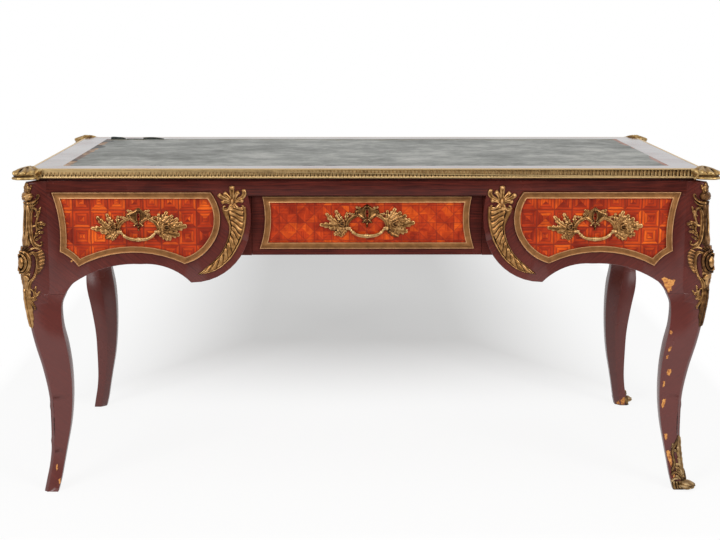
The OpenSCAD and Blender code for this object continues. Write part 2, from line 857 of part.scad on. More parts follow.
module bolt(s) {
    x = s * handle_x;
    mid_y = lock_y(s) + lock_t / 2;
    color(brass) span([x - bolt_w / 2, mid_y - bolt_t / 2, lock_top() - bolt_h],
                      [x + bolt_w / 2, mid_y + bolt_t / 2, lock_top()]);
}

leg(-1, -1);  // leg_front_left
leg(1, -1);  // leg_front_right
leg(-1, 1);  // leg_back_left
leg(1, 1);  // leg_back_right
front_rail();
pedestal_front(-1);  // pedestal_front_left
pedestal_front(1);  // pedestal_front_right
divider(-1);  // divider_left
divider(1);  // divider_right
side_panel(-1);  // side_panel_left
side_panel(1);  // side_panel_right
back_panel();
panel_parquetry();
panel_frames();
drawer_runners();
kicker_rails();
top_screws();
top_board();
leather_top();
rim_band();
clasp(-1, -1);  // clasp_front_left
clasp(1, -1);  // clasp_front_right
clasp(-1, 1);  // clasp_back_left
clasp(1, 1);  // clasp_back_right
chute(-1, -1);  // chute_front_left
chute(1, -1);  // chute_front_right
chute(-1, 1);  // chute_back_left
chute(1, 1);  // chute_back_right
horn(-1);  // horn_left
horn(1);  // horn_right
horns_back();
sabot(1, -1);  // sabot_front_right
sabot(1, 1);  // sabot_back_right
drawer_front(-1);  // drawer_front_left
drawer_case(-1);  // drawer_case_left
drawer_bottom(-1);  // drawer_bottom_left
drawer_panel(-1);  // drawer_panel_left
drawer_frame(-1);  // drawer_frame_left
handle(-1);  // handle_left
bail(-1);  // bail_left
lock(-1);  // lock_left
bolt(-1);  // bolt_left
drawer_front(0);  // drawer_front_centre
drawer_case(0);  // drawer_case_centre
drawer_bottom(0);  // drawer_bottom_centre
drawer_panel(0);  // drawer_panel_centre
drawer_frame(0);  // drawer_frame_centre
handle(0);  // handle_centre
bail(0);  // bail_centre
lock(0);  // lock_centre
bolt(0);  // bolt_centre
drawer_front(1);  // drawer_front_right
drawer_case(1);  // drawer_case_right
drawer_bottom(1);  // drawer_bottom_right
drawer_panel(1);  // drawer_panel_right
drawer_frame(1);  // drawer_frame_right
handle(1);  // handle_right
bail(1);  // bail_right
lock(1);  // lock_right
bolt(1);  // bolt_right
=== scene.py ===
import json
import math
import random

import bmesh
import bpy
from mathutils import Matrix, Vector
from mathutils.bvhtree import BVHTree


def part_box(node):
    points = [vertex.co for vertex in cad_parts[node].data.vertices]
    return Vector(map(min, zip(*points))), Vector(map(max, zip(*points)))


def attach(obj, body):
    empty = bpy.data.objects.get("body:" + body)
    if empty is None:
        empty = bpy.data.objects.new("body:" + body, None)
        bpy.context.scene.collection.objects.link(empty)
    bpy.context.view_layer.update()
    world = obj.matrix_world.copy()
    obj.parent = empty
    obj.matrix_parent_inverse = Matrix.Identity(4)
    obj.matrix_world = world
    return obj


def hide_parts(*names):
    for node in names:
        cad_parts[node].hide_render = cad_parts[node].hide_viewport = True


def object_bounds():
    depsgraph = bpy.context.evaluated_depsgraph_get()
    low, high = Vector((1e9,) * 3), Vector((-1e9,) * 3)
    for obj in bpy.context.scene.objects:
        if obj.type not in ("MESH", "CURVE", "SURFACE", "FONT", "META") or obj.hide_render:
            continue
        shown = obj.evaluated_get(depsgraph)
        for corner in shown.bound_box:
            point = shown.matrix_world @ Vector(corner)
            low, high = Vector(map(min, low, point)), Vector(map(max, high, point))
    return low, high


bl_info = {
    "name": "Bureau Plat",
    "version": (1, 0, 0),
    "blender": (4, 5, 0),
    "location": "View3D > Sidebar > Bureau",
    "description": "Veneer, parquetry, leather and bronze mounts for a three-drawer writing table",
    "category": "Object",
}

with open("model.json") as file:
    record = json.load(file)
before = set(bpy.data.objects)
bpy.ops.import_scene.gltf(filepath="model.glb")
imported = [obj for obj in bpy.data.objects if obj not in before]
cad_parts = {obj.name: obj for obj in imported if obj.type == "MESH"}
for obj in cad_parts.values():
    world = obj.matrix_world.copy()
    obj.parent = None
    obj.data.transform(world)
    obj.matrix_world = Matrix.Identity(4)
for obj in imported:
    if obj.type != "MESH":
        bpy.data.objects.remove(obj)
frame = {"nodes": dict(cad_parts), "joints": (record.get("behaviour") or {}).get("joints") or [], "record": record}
CAD_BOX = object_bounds()
NODES = frame["nodes"]
RECORD = frame["record"]
# Lengths are metres, and reliefs are drawn in mm; a pattern's scale is one over its detail's size
MM = 0.001
# Height of a relief's underside in mm: it is sunk into its ground, so that no gap shows
SUNK = -0.3
# A keyhole's height over the pivots of its drawer's bail
KEY_OVER_PIVOT = 34 * MM
FRONTS = ("left", "centre", "right")
CORNERS = {"front_left": (-1, -1), "front_right": (1, -1), "back_left": (-1, 1), "back_right": (1, 1)}


def body_of_node(node):
    """The CAD body that a node belongs to."""
    return next(b for b, nodes in RECORD["behaviour"]["bodies"].items() if node in nodes)


def slot_of_node(node):
    """The record's material slot of a node."""
    return next(s["material_slot"] for s in RECORD["subparts"] if s["node"] == node)


def to_linear(code):
    """An sRGB hex colour as linear RGBA."""
    values = [int(code[i:i + 2], 16) / 255 for i in (1, 3, 5)]
    return [v / 12.92 if v <= 0.04045 else ((v + 0.055) / 1.055) ** 2.4 for v in values] + [1.0]


class BureauSizes(bpy.types.PropertyGroup):
    """Sizes of the finish, as a maker would give them."""

    veneer_grain: bpy.props.FloatProperty(
        name="Veneer grain", description="Width of one streak of the dark veneer's grain",
        default=1.1 * MM, unit="LENGTH")
    parquet_pitch: bpy.props.FloatProperty(
        name="Parquetry pitch", description="Side of one square of the parquetry",
        default=41 * MM, unit="LENGTH")
    leaf_pitch: bpy.props.FloatProperty(
        name="Edge leaf pitch", description="Distance between two leaves of the bronze edge band",
        default=8.5 * MM, unit="LENGTH")
    board_round: bpy.props.FloatProperty(
        name="Board rounding", description="Rounding of the wooden edges",
        default=0.9 * MM, unit="LENGTH")
    lens: bpy.props.FloatProperty(
        name="Lens", description="Focal length of the camera on a 36 mm sensor",
        default=75.46, unit="CAMERA")


class BureauColours(bpy.types.PropertyGroup):
    """Colours of the finishes, as sRGB hex values."""

    veneer: bpy.props.StringProperty(
        name="Veneer", description="Body colour of the dark veneer", default="#4c1f19")
    veneer_streak: bpy.props.StringProperty(
        name="Veneer streak", description="Dark streaks in that veneer", default="#2c1210")
    veneer_warm: bpy.props.StringProperty(
        name="Veneer warm", description="Warm patches in that veneer", default="#6b281c")
    veneer_soft: bpy.props.StringProperty(
        name="Veneer soft", description="That veneer where its streaks hardly show",
        default="#551f19")
    tulipwood_light: bpy.props.StringProperty(
        name="Tulipwood light", description="Lightest pieces of the parquetry", default="#e4640e")
    tulipwood: bpy.props.StringProperty(
        name="Tulipwood", description="Middle pieces of the parquetry", default="#b93a0a")
    tulipwood_dark: bpy.props.StringProperty(
        name="Tulipwood dark", description="Darkest pieces of the parquetry", default="#84230c")
    tulipwood_line: bpy.props.StringProperty(
        name="Tulipwood line", description="Purple-brown lines between the pieces", default="#6c2113")
    bronze: bpy.props.StringProperty(
        name="Bronze", description="Worn gilding on the bronze", default="#9c7846")
    bronze_rubbed: bpy.props.StringProperty(
        name="Bronze rubbed", description="Bright metal on the high places", default="#cfb07c")
    # The darkest bronze tone is patina, and also painted shade where ambient occlusion finds hollows
    bronze_patina_and_shade: bpy.props.StringProperty(
        name="Bronze patina and shade", description="Dirt and patina in the bronze's hollows", default="#2e2013")
    leather: bpy.props.StringProperty(
        name="Leather", description="Faded green-grey leather", default="#595c54")
    oak: bpy.props.StringProperty(
        name="Oak", description="Bare oak of the drawer linings", default="#a9855a")


def sizes():
    """The scene's sizes of the finish."""
    return bpy.context.scene.bureau_sizes


def colours():
    """The scene's colours of the finishes."""
    return bpy.context.scene.bureau_colours


def output_of(value):
    """A node's own output; any other value as it is."""
    if isinstance(value, bpy.types.Node):
        return next(output for output in value.outputs if output.enabled)
    return value


def add(tree, kind, stops=(), **settings):
    """Adds a shader node; kind is its type without ShaderNode. A setting is a property, or with in_
    before it a socket, which takes a number or the node or output that it is linked to. stops are a
    colour ramp's places and hex colours."""
    node = tree.nodes.new("ShaderNode" + kind)
    for key, value in settings.items():
        if not key.startswith("in_"):
            setattr(node, key, value)
    for key, value in settings.items():
        if key.startswith("in_"):
            name = key[3:].replace("_", " ")
            socket = node.inputs[int(name) if name.isdigit() else name]
            value = output_of(value)
            if isinstance(value, bpy.types.NodeSocket):
                tree.links.new(value, socket)
            else:
                socket.default_value = value
    for k, (place, code) in enumerate(stops):
        elements = node.color_ramp.elements
        element = elements[k] if k < len(elements) else elements.new(place)
        element.position, element.color = place, to_linear(code)
    return node


def new_material(name, **settings):
    """A material with a Principled shader whose sockets are set, and its node tree and that shader."""
    material = bpy.data.materials.get(name) or bpy.data.materials.new(name)
    material.use_nodes = True
    tree = material.node_tree
    shader = tree.nodes["Principled BSDF"]
    for key, value in settings.items():
        shader.inputs[key.replace("_", " ")].default_value = value
    return material, tree, shader


def dress(tree, shader, **layers):
    """Links each layer, a node or an output, to the shader's socket of its name."""
    for key, layer in layers.items():
        tree.links.new(output_of(layer), shader.inputs[key.replace("_", " ")])


def direct_rays(tree):
    """The light path, and whether a ray comes from the camera, from a mirror or through glass."""
    path = add(tree, "LightPath")
    mirrored = add(tree, "Math", operation="MAXIMUM", in_0=path.outputs["Is Glossy Ray"],
                   in_1=path.outputs["Is Transmission Ray"])
    return path, add(tree, "Math", operation="MAXIMUM", in_0=path.outputs["Is Camera Ray"],
                     in_1=mirrored)


def veneer_material(name, slant, contrast=1.0):
    """Kingwood veneer, knife cut and French polished: dark fine streaks under a soft gloss. slant is
    the grain's angle on an upright face, in radians over the level, and it rises away from the
    table's middle on both sides; contrast is how far the streaks stand out."""
    polished = name.endswith("top")
    level_grain_painted_darker = slant == 0 and not polished
    material, tree, shader = new_material(name, Specular_IOR_Level=(
        0.95 if polished else 0.2 if level_grain_painted_darker else 0.42))
    tones, grain = colours(), sizes().veneer_grain
    place = add(tree, "TexCoord").outputs["Object"]
    # The veneer is a sheet, so its figure has two directions: along the face, and up it
    facing = add(tree, "VectorMath", operation="ABSOLUTE", in_0=add(tree, "TexCoord").outputs["Normal"])
    faces = add(tree, "SeparateXYZ", in_0=facing)
    sideways = add(tree, "Math", operation="GREATER_THAN", in_0=faces.outputs["X"], in_1=0.75)
    upwards = add(tree, "Math", operation="GREATER_THAN", in_0=faces.outputs["Z"], in_1=0.8)
    axes = add(tree, "SeparateXYZ", in_0=add(
        tree, "VectorMath", operation="ABSOLUTE", in_0=place))
    level = add(tree, "Mix", data_type="FLOAT", in_0=sideways, in_2=axes.outputs["X"],
                in_3=axes.outputs["Y"])
    up = add(tree, "Mix", data_type="FLOAT", in_0=upwards, in_2=axes.outputs["Z"],
             in_3=axes.outputs["Y"])
    sheet = add(tree, "CombineXYZ", in_0=level, in_1=up, in_2=sideways)
    turned = add(tree, "Mapping", vector_type="TEXTURE", in_Vector=sheet, in_Rotation=(0, 0, slant))
    along = add(tree, "Mapping", in_Vector=turned, in_Scale=(0.045, 1, 1))
    streak = add(tree, "TexNoise", in_Vector=along, in_Scale=0.35 / grain, in_Detail=5.0,
                 in_Roughness=0.62, in_Distortion=0.25)
    broad = add(tree, "TexNoise", in_Vector=along, in_Scale=1 / (33.33 * MM), in_Detail=3.0)
    cloud = add(tree, "TexNoise", in_Vector=place, in_Scale=1 / (125 * MM), in_Detail=3.0)
    fine = add(tree, "ValToRGB", in_0=streak.outputs[0],
               stops=[(0.36, tones.veneer_streak), (0.52, tones.veneer), (0.7, tones.veneer_warm)])
    # The lengthwise veneer's broad figure is darker: painted shade, as under the top's overhang on the front rail
    wide = add(tree, "ValToRGB", in_0=broad.outputs[0],
               stops=[(0.36, "#727272"), (0.6, "#c4c4c4")] if level_grain_painted_darker else
               [(0.36, "#949494"), (0.6, "#f4f4f4")])
    base = add(tree, "Mix", data_type="RGBA", blend_type="MULTIPLY", in_0=0.7 * contrast,
               in_6=fine, in_7=wide)
    base = add(tree, "Mix", data_type="RGBA", in_0=contrast, in_6=to_linear(tones.veneer_soft),
               in_7=base)
    red = add(tree, "MapRange", in_0=cloud.outputs[0], in_1=0.48, in_2=0.72, in_3=0.0, in_4=0.4)
    colour = add(tree, "Mix", data_type="RGBA", in_0=red, in_6=base, in_7=to_linear(tones.veneer_warm))
    # Low down, towards the feet, the veneer is mixed paler and pinker
    paler_low_down = add(tree, "MapRange", in_0=add(
        tree, "SeparateXYZ", in_0=place).outputs["Z"], in_1=0.6, in_2=0.42, in_3=0.0, in_4=0.6)
    colour = add(tree, "Mix", data_type="RGBA", in_0=paler_low_down, in_6=colour, in_7=to_linear("#62332f"))
    low, high = (0.1, 0.2) if polished else (0.2, 0.3)
    rough = add(tree, "MapRange", in_0=cloud.outputs[0], in_1=0.3, in_2=0.7, in_3=low, in_4=high)
    bump = add(tree, "Bump", in_Height=streak.outputs[0], in_Strength=0.1 * contrast,
               in_Distance=0.2 * MM)
    dress(tree, shader, Base_Color=colour, Roughness=rough, Normal=bump)
    return material


def parquetry_material(name, lozenge):
    """Tulipwood parquetry, polished: squares of mitred strips, or lozenges in squares. Each strip is
    cut from another leaf, so it takes its own tone. On the sides it reads Y in place of X."""
    material, tree, shader = new_material(name, Roughness=0.33, Specular_IOR_Level=0.25)
    tones, pitch = colours(), sizes().parquet_pitch
    place = add(tree, "TexCoord").outputs["Object"]
    facing = add(tree, "SeparateXYZ", in_0=add(tree, "TexCoord").outputs["Normal"])
    turned = add(tree, "Math", operation="GREATER_THAN", in_1=0.7, in_0=add(
        tree, "Math", operation="ABSOLUTE", in_0=facing.outputs["X"]))
    wave = add(tree, "TexNoise", in_Vector=place, in_Scale=1 / (25 * MM), in_Detail=1.0)
    shift = add(tree, "VectorMath", operation="SCALE", in_0=wave.outputs["Color"], in_Scale=2.0 * MM)
    wavy = add(tree, "VectorMath", operation="ADD", in_0=place, in_1=shift)
    axes = add(tree, "SeparateXYZ", in_0=wavy)
    level_way = add(tree, "Mix", data_type="FLOAT", in_0=turned, in_2=axes.outputs["X"],
                    in_3=axes.outputs["Y"])
    # The squares of both pedestals are laid out from the table's middle
    other_side = add(tree, "Math", operation="LESS_THAN", in_0=level_way, in_1=0.0)
    if not lozenge:
        level_way = add(tree, "Math", operation="ABSOLUTE", in_0=level_way)
    starts = (0.0, 6 * MM) if lozenge else (12.6 * MM, 13.6 * MM)
    across, up = (add(tree, "Math", operation="DIVIDE", in_1=pitch, in_0=add(
        tree, "Math", operation="ADD", in_0=way, in_1=start))
        for way, start in zip((level_way, axes.outputs["Z"]), starts))
    # Within a square, from -0.5 to 0.5 each way
    within = [add(tree, "Math", operation="SUBTRACT", in_1=0.5, in_0=add(
        tree, "Math", operation="FRACT", in_0=way)) for way in (across, up)]
    size = [add(tree, "Math", operation="ABSOLUTE", in_0=way) for way in within]
    flat = add(tree, "Math", operation="MAXIMUM", in_0=size[0], in_1=size[1])
    slant = add(tree, "Math", operation="ADD", in_0=size[0], in_1=size[1])
    half = add(tree, "Math", operation="GREATER_THAN", in_1=0.0, in_0=add(
        tree, "Math", operation="ADD", in_0=within[0], in_1=within[1]))
    if lozenge:
        ring = add(tree, "Math", operation="LESS_THAN", in_0=slant, in_1=0.5)
        edge = add(tree, "Math", operation="ABSOLUTE", in_0=add(
            tree, "Math", operation="SUBTRACT", in_0=slant, in_1=0.5))
        wedge = add(tree, "Math", operation="GREATER_THAN", in_1=0.0, in_0=add(
            tree, "Math", operation="MULTIPLY", in_0=within[0], in_1=within[1]))
    else:
        # Just over three strips from the middle to the edge
        steps = add(tree, "Math", operation="MULTIPLY", in_0=flat, in_1=6.2)
        ring = add(tree, "Math", operation="FLOOR", in_0=steps)
        edge = add(tree, "Math", operation="MULTIPLY", in_1=0.16, in_0=add(
            tree, "Math", operation="PINGPONG", in_0=steps, in_1=0.5))
        wedge = add(tree, "Math", operation="GREATER_THAN", in_0=size[0], in_1=size[1])
    # A number of its own for each strip, and a column's own for each side of the table
    piece = add(tree, "Math", operation="MULTIPLY_ADD", in_0=wedge, in_1=3.7, in_2=add(
        tree, "Math", operation="MULTIPLY_ADD", in_0=half, in_1=1.9, in_2=add(
            tree, "Math", operation="MULTIPLY", in_0=ring, in_1=5.3)))
    column = add(tree, "Math", operation="MULTIPLY_ADD", in_0=other_side, in_1=97.0,
                 in_2=add(tree, "Math", operation="FLOOR", in_0=across))
    row = add(tree, "Math", operation="FLOOR", in_0=up)
    strip_tone = add(tree, "TexWhiteNoise", in_Vector=add(
        tree, "CombineXYZ", in_0=column, in_1=row, in_2=piece))
    square_tone = add(tree, "TexWhiteNoise", in_Vector=add(
        tree, "CombineXYZ", in_0=column, in_1=row, in_2=wedge))
    tone = add(tree, "Math", operation="MULTIPLY_ADD", in_0=strip_tone.outputs["Value"],
               in_1=0.55, in_2=add(tree, "Math", operation="MULTIPLY",
                                   in_0=square_tone.outputs["Value"], in_1=0.45))
    if lozenge:
        tone = add(tree, "MapRange", in_0=tone, in_3=0.2, in_4=0.86)
    colour = add(tree, "ValToRGB", in_0=tone, stops=[
        (0.05, tones.tulipwood_dark), (0.5, tones.tulipwood), (0.95, tones.tulipwood_light)])
    # The grain runs along each strip
    upright = add(tree, "TexNoise", in_Scale=1 / (2.632 * MM), in_Detail=3.0, in_Vector=add(
        tree, "Mapping", in_Vector=place, in_Scale=(1, 1, 0.08)))
    level = add(tree, "TexNoise", in_Scale=1 / (2.632 * MM), in_Detail=3.0, in_Vector=add(
        tree, "Mapping", in_Vector=place, in_Scale=(0.08, 0.08, 1)))
    grain = add(tree, "Mix", data_type="FLOAT", in_0=wedge, in_2=level.outputs[0],
                in_3=upright.outputs[0])
    grain_tone = add(tree, "ValToRGB", in_0=grain, stops=[(0.3, "#c39a80"), (0.66, "#ffffff")])
    cloud = add(tree, "TexNoise", in_Vector=place, in_Scale=1 / (38.46 * MM), in_Detail=2.0)
    cloud_tone = add(tree, "ValToRGB", in_0=cloud.outputs[0],
                     stops=[(0.34, "#a8745c"), (0.56, "#ffffff")])
    for share, layer in ((0.8, grain_tone), (0.65, cloud_tone)):
        colour = add(tree, "Mix", data_type="RGBA", blend_type="MULTIPLY", in_0=share,
                     in_6=colour, in_7=layer)
    # Joints between the strips, and round each square
    nearest = add(tree, "Math", operation="MINIMUM", in_0=edge, in_1=add(
        tree, "Math", operation="SUBTRACT", in_0=0.5, in_1=flat))
    joint = add(tree, "MapRange", in_0=nearest, in_1=0.008, in_2=0.026, in_3=0.8, in_4=0.0)
    colour = add(tree, "Mix", data_type="RGBA", in_0=joint, in_6=colour,
                 in_7=to_linear(tones.tulipwood_line))
    bump = add(tree, "Bump", in_Height=grain, in_Strength=0.08, in_Distance=0.2 * MM)
    dress(tree, shader, Base_Color=colour, Normal=bump)
    return material


def bronze_material(name, bright, roughness, mottle=1.0, tone="#ffffff"):
    """Cast and chased bronze with worn gilding: rubbed on the high places, brown dirt and patina in the hollows,
    which also serve as painted shade.
    bright moves the whole piece towards the rubbed tone, mottle is how strong its stains are, and tone
    is what its colour is multiplied by."""
    material, tree, shader = new_material(name, Metallic=0.82)
    tones = colours()
    place = add(tree, "TexCoord").outputs["Object"]
    # Hollows a few millimetres wide are darkened by ambient occlusion, as patina and as painted shade, and sharp
    # edges are rubbed
    hollow = add(tree, "AmbientOcclusion", samples=6, in_Distance=7 * MM)
    open_unshaded = add(tree, "MapRange", in_0=hollow.outputs["AO"], in_1=0.25, in_2=0.95)
    sharp = add(tree, "MapRange", in_3=-0.12, in_4=0.3, in_1=0.46, in_2=0.56,
                in_0=add(tree, "NewGeometry").outputs["Pointiness"])
    wear = add(tree, "TexNoise", in_Vector=place, in_Scale=1 / (10.53 * MM), in_Detail=4.0)
    patch = add(tree, "MapRange", in_0=wear.outputs[0], in_1=0.3, in_2=0.7,
                in_3=-0.2 * mottle, in_4=0.16 * mottle)
    amount = add(tree, "Math", operation="ADD", in_0=patch, in_1=add(
        tree, "Math", operation="MULTIPLY_ADD", in_0=open_unshaded, in_1=0.68, in_2=sharp))
    amount = add(tree, "Math", operation="ADD", in_0=amount, in_1=bright)
    # Low amounts, in occluded hollows, take the patina tone as painted shade
    colour = add(tree, "ValToRGB", in_0=amount, stops=[
        (0.08, tones.bronze_patina_and_shade), (0.4, "#5f4326"), (0.66, tones.bronze), (0.95, tones.bronze_rubbed)])
    colour = add(tree, "Mix", data_type="RGBA", blend_type="MULTIPLY", in_0=1.0, in_6=colour,
                 in_7=to_linear(tone))
    rough = add(tree, "MapRange", in_0=wear.outputs[0], in_1=0.3, in_2=0.7,
                in_3=roughness, in_4=roughness + 0.14)
    bump = add(tree, "Bump", in_Height=wear.outputs[0], in_Strength=0.2 * mottle, in_Distance=0.25 * MM)
    dress(tree, shader, Base_Color=colour, Roughness=rough, Normal=bump)
    return material


def leather_material(name):
    """Skiver leather, once dark green, rubbed to a soft grey-green sheen: stained and scuffed, and lost
    along its edges, with a brown strip on the left and a red one on the right."""
    material, tree, shader = new_material(name)
    tones = colours()
    place = add(tree, "TexCoord").outputs["Object"]
    cloud = add(tree, "TexNoise", in_Vector=place, in_Scale=1 / (142.9 * MM), in_Detail=9.0,
                in_Roughness=0.74)
    colour = add(tree, "ValToRGB", in_0=cloud.outputs[0],
                 stops=[(0.34, "#35372f"), (0.5, tones.leather), (0.66, "#84837a")])
    scratch = add(tree, "TexNoise", in_Scale=1 / (14.29 * MM), in_Detail=6.0, in_Roughness=0.7,
                  in_Vector=add(tree, "Mapping", in_Vector=place, in_Scale=(0.16, 1, 1),
                                in_Rotation=(0, 0, math.radians(6))))
    streaks = add(tree, "MapRange", in_0=scratch.outputs[0], in_1=0.56, in_2=0.7, in_3=0.0, in_4=0.55)
    colour = add(tree, "Mix", data_type="RGBA", in_0=streaks, in_6=colour, in_7=to_linear("#a9a9a0"))
    # How far a point is from each edge, in metres
    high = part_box("leather_top")[1]
    axes = add(tree, "SeparateXYZ", in_0=place)
    right, behind = (add(tree, "Math", operation="SUBTRACT", in_0=edge, in_1=axes.outputs[way])
                     for way, edge in (("X", high[0]), ("Y", high[1])))
    left, front = (add(tree, "Math", operation="ADD", in_0=edge, in_1=axes.outputs[way])
                   for way, edge in (("X", high[0]), ("Y", high[1])))
    ragged = add(tree, "TexNoise", in_Vector=place, in_Scale=1 / (38.46 * MM), in_Detail=5.0)
    broad = add(tree, "TexNoise", in_Vector=place, in_Scale=1 / (222.2 * MM), in_Detail=2.0)
    # Each loss: the edge, its noise and the noise's range, its reach in metres, its colour and depth
    stain = add(tree, "ValToRGB", in_0=ragged.outputs[0], stops=[
        (0.36, "#241b16"), (0.5, "#5f4334"), (0.66, "#b48c62")])
    matt = 0.0
    for gap, noise, start, end, least, most, tone, depth in (
            (behind, ragged, 0.36, 0.66, 0.014, 0.05, "#625c42", 0.7),
            (front, ragged, 0.5, 0.62, -0.004, 0.016, "#1c201b", 0.85),
            (left, ragged, 0.3, 0.7, 0.011, 0.02, stain, 1.0),
            (left, broad, 0.54, 0.66, -0.002, 0.03, "#191c19", 0.9),
            (right, broad, 0.5, 0.56, -0.002, 0.011, "#9a6450", 0.85)):
        reach = add(tree, "MapRange", in_0=noise.outputs[0], in_1=start, in_2=end,
                    in_3=least, in_4=most)
        loss = add(tree, "Math", operation="LESS_THAN", in_0=gap, in_1=reach)
        lost = add(tree, "Math", operation="MULTIPLY", in_0=loss, in_1=depth)
        matt = add(tree, "Math", operation="MAXIMUM", in_0=matt, in_1=lost)
        colour = add(tree, "Mix", data_type="RGBA", in_0=lost, in_6=colour,
                     in_7=tone if tone == stain else to_linear(tone))
    gloss = add(tree, "MapRange", in_0=matt, in_1=0.0, in_2=1.0, in_3=0.5, in_4=0.12)
    rough = add(tree, "MapRange", in_0=cloud.outputs[0], in_1=0.35, in_2=0.65, in_3=0.5, in_4=0.33)
    pore = add(tree, "TexVoronoi", in_Vector=place, in_Scale=1 / (1.429 * MM))
    bump = add(tree, "Bump", in_Height=pore.outputs["Distance"], in_Strength=0.25,
               in_Distance=0.15 * MM)
    crease = add(tree, "Bump", in_Height=cloud.outputs[0], in_Strength=0.35,
                 in_Distance=1.2 * MM, in_Normal=bump)
    dress(tree, shader, Base_Color=colour, Specular_IOR_Level=gloss, Roughness=rough, Normal=crease)
    return material


def torn_leather_material(name):
    """The leather's torn and lifted edges: dirty, dark and dry."""
    material, tree, shader = new_material(name, Roughness=0.7, Specular_IOR_Level=0.2)
    place = add(tree, "TexCoord").outputs["Object"]
    dirt = add(tree, "TexNoise", in_Vector=place, in_Scale=1 / (8.33 * MM), in_Detail=4.0)
    colour = add(tree, "ValToRGB", in_0=dirt.outputs[0], stops=[(0.35, "#171b19"), (0.7, "#343a36")])
    dress(tree, shader, Base_Color=colour)
    return material


def oak_material(name):
    """Bare oak of linings and runners: pale, open-grained and dull."""
    material, tree, shader = new_material(name, Roughness=0.62)
    place = add(tree, "TexCoord").outputs["Object"]
    along = add(tree, "Mapping", in_Vector=place, in_Scale=(1, 0.04, 1))
    grain = add(tree, "TexNoise", in_Vector=along, in_Scale=1 / (3.846 * MM), in_Detail=5.0,
                in_Distortion=0.4)
    broad = add(tree, "TexNoise", in_Vector=along, in_Scale=1 / (33.33 * MM))
    fine = add(tree, "ValToRGB", in_0=grain.outputs[0],
               stops=[(0.35, "#8a683f"), (0.55, colours().oak), (0.75, "#bf9c6e")])
    wide = add(tree, "ValToRGB", in_0=broad.outputs[0], stops=[(0.35, "#b5a38c"), (0.6, "#ffffff")])
    colour = add(tree, "Mix", data_type="RGBA", blend_type="MULTIPLY", in_0=0.7, in_6=fine, in_7=wide)
    bump = add(tree, "Bump", in_Height=grain.outputs[0], in_Strength=0.3, in_Distance=0.3 * MM)
    dress(tree, shader, Base_Color=colour, Normal=bump)
    return material


def bare_wood_material(name):
    """Fresh breaks in the veneer, where the pale ground wood shows: matt and orange-tan."""
    material, tree, shader = new_material(name, Roughness=0.75)
    place = add(tree, "TexCoord").outputs["Object"]
    grain = add(tree, "TexNoise", in_Vector=place, in_Scale=1 / (5.56 * MM), in_Detail=4.0)
    colour = add(tree, "ValToRGB", in_0=grain.outputs[0],
                 stops=[(0.36, "#8a4a20"), (0.5, "#c07f3c"), (0.68, "#d09650")])
    dress(tree, shader, Base_Color=colour)
    return material


def steel_material(name):
    """Turned steel, dulled by age: the screws under the top."""
    material, tree, shader = new_material(name, Metallic=1.0, Roughness=0.42)
    place = add(tree, "TexCoord").outputs["Object"]
    stain = add(tree, "TexNoise", in_Vector=place, in_Scale=1 / (3.33 * MM), in_Detail=3.0)
    colour = add(tree, "ValToRGB", in_0=stain.outputs[0], stops=[(0.35, "#5b5650"), (0.65, "#8f8c87")])
    dress(tree, shader, Base_Color=colour)
    return material


def floor_material(name):
    """Seamless white studio paper, matt. The camera sees it white away from the table, and lit and
    shadowed near it. Mirrors see it dark far in front of the table, where the room is unlit."""
    material, tree, shader = new_material(name, Roughness=0.9, Specular_IOR_Level=0.1)
    shader.inputs["Base Color"].default_value = to_linear("#f6f6f5")
    place = add(tree, "TexCoord").outputs["Object"]
    axes = add(tree, "SeparateXYZ", in_0=place)
    sideways = add(tree, "Math", operation="ABSOLUTE", in_0=axes.outputs["X"])
    # Where each fade to plain white starts and ends, in metres, and how far it goes
    fade = 0.1
    for way, start, end, most in ((sideways, 0.2, 0.95, 0.88), (sideways, 0.8, 1.15, 1.0),
                                  (axes.outputs["Y"], 1.5, 0.3, 0.88),
                                  (axes.outputs["Y"], -0.35, -0.8, 1.0),
                                  (axes.outputs["Y"], 3.2, 4.6, 1.0)):
        away = add(tree, "MapRange", interpolation_type="SMOOTHSTEP", in_0=way, in_1=start,
                   in_2=end, in_3=0.0, in_4=most)
        fade = add(tree, "Math", operation="MAXIMUM", in_0=fade, in_1=away)
    path, seen = direct_rays(tree)
    paper = add(tree, "MapRange", in_0=axes.outputs["Y"], in_1=-3.6, in_2=-1.8, in_3=0.03, in_4=1.0)
    strength = add(tree, "Math", operation="MAXIMUM", in_0=paper, in_1=path.outputs["Is Camera Ray"])
    white = add(tree, "Emission", in_Color=(1, 1, 1, 1), in_Strength=strength)
    both = add(tree, "MixShader", in_1=shader, in_2=white, in_0=add(
        tree, "Math", operation="MULTIPLY", in_0=fade, in_1=seen))
    tree.links.new(both.outputs[0], tree.nodes["Material Output"].inputs["Surface"])
    return material


def room_material(name):
    """The unlit room in front of the table, which polish and bronze mirror."""
    material, _, shader = new_material(name, Roughness=0.95, Specular_IOR_Level=0.0)
    shader.inputs["Base Color"].default_value = to_linear("#2c2a28")
    return material


def round_edges(obj, width, segments=2):
    """Welds a CAD node's loose triangles and rounds its edges over 35 degrees, both as modifiers."""
    weld = obj.modifiers.new("Weld", "WELD")
    weld.merge_threshold = 0.01 * MM
    bevel = obj.modifiers.new("Rounding", "BEVEL")
    bevel.width = width
    bevel.segments = segments
    bevel.limit_method = "ANGLE"
    bevel.angle_limit = math.radians(35)


def paint(node, finish):
    """Gives a CAD node a named finish."""
    obj = NODES[node]
    obj.data.materials.clear()
    obj.data.materials.append(bpy.data.materials[finish])
    return obj


def merged_copy(node):
    """A CAD node's mesh as a bmesh, with its loose triangles merged."""
    bm = bmesh.new()
    bm.from_mesh(NODES[node].data)
    bmesh.ops.remove_doubles(bm, verts=bm.verts, dist=0.002 * MM)
    return bm


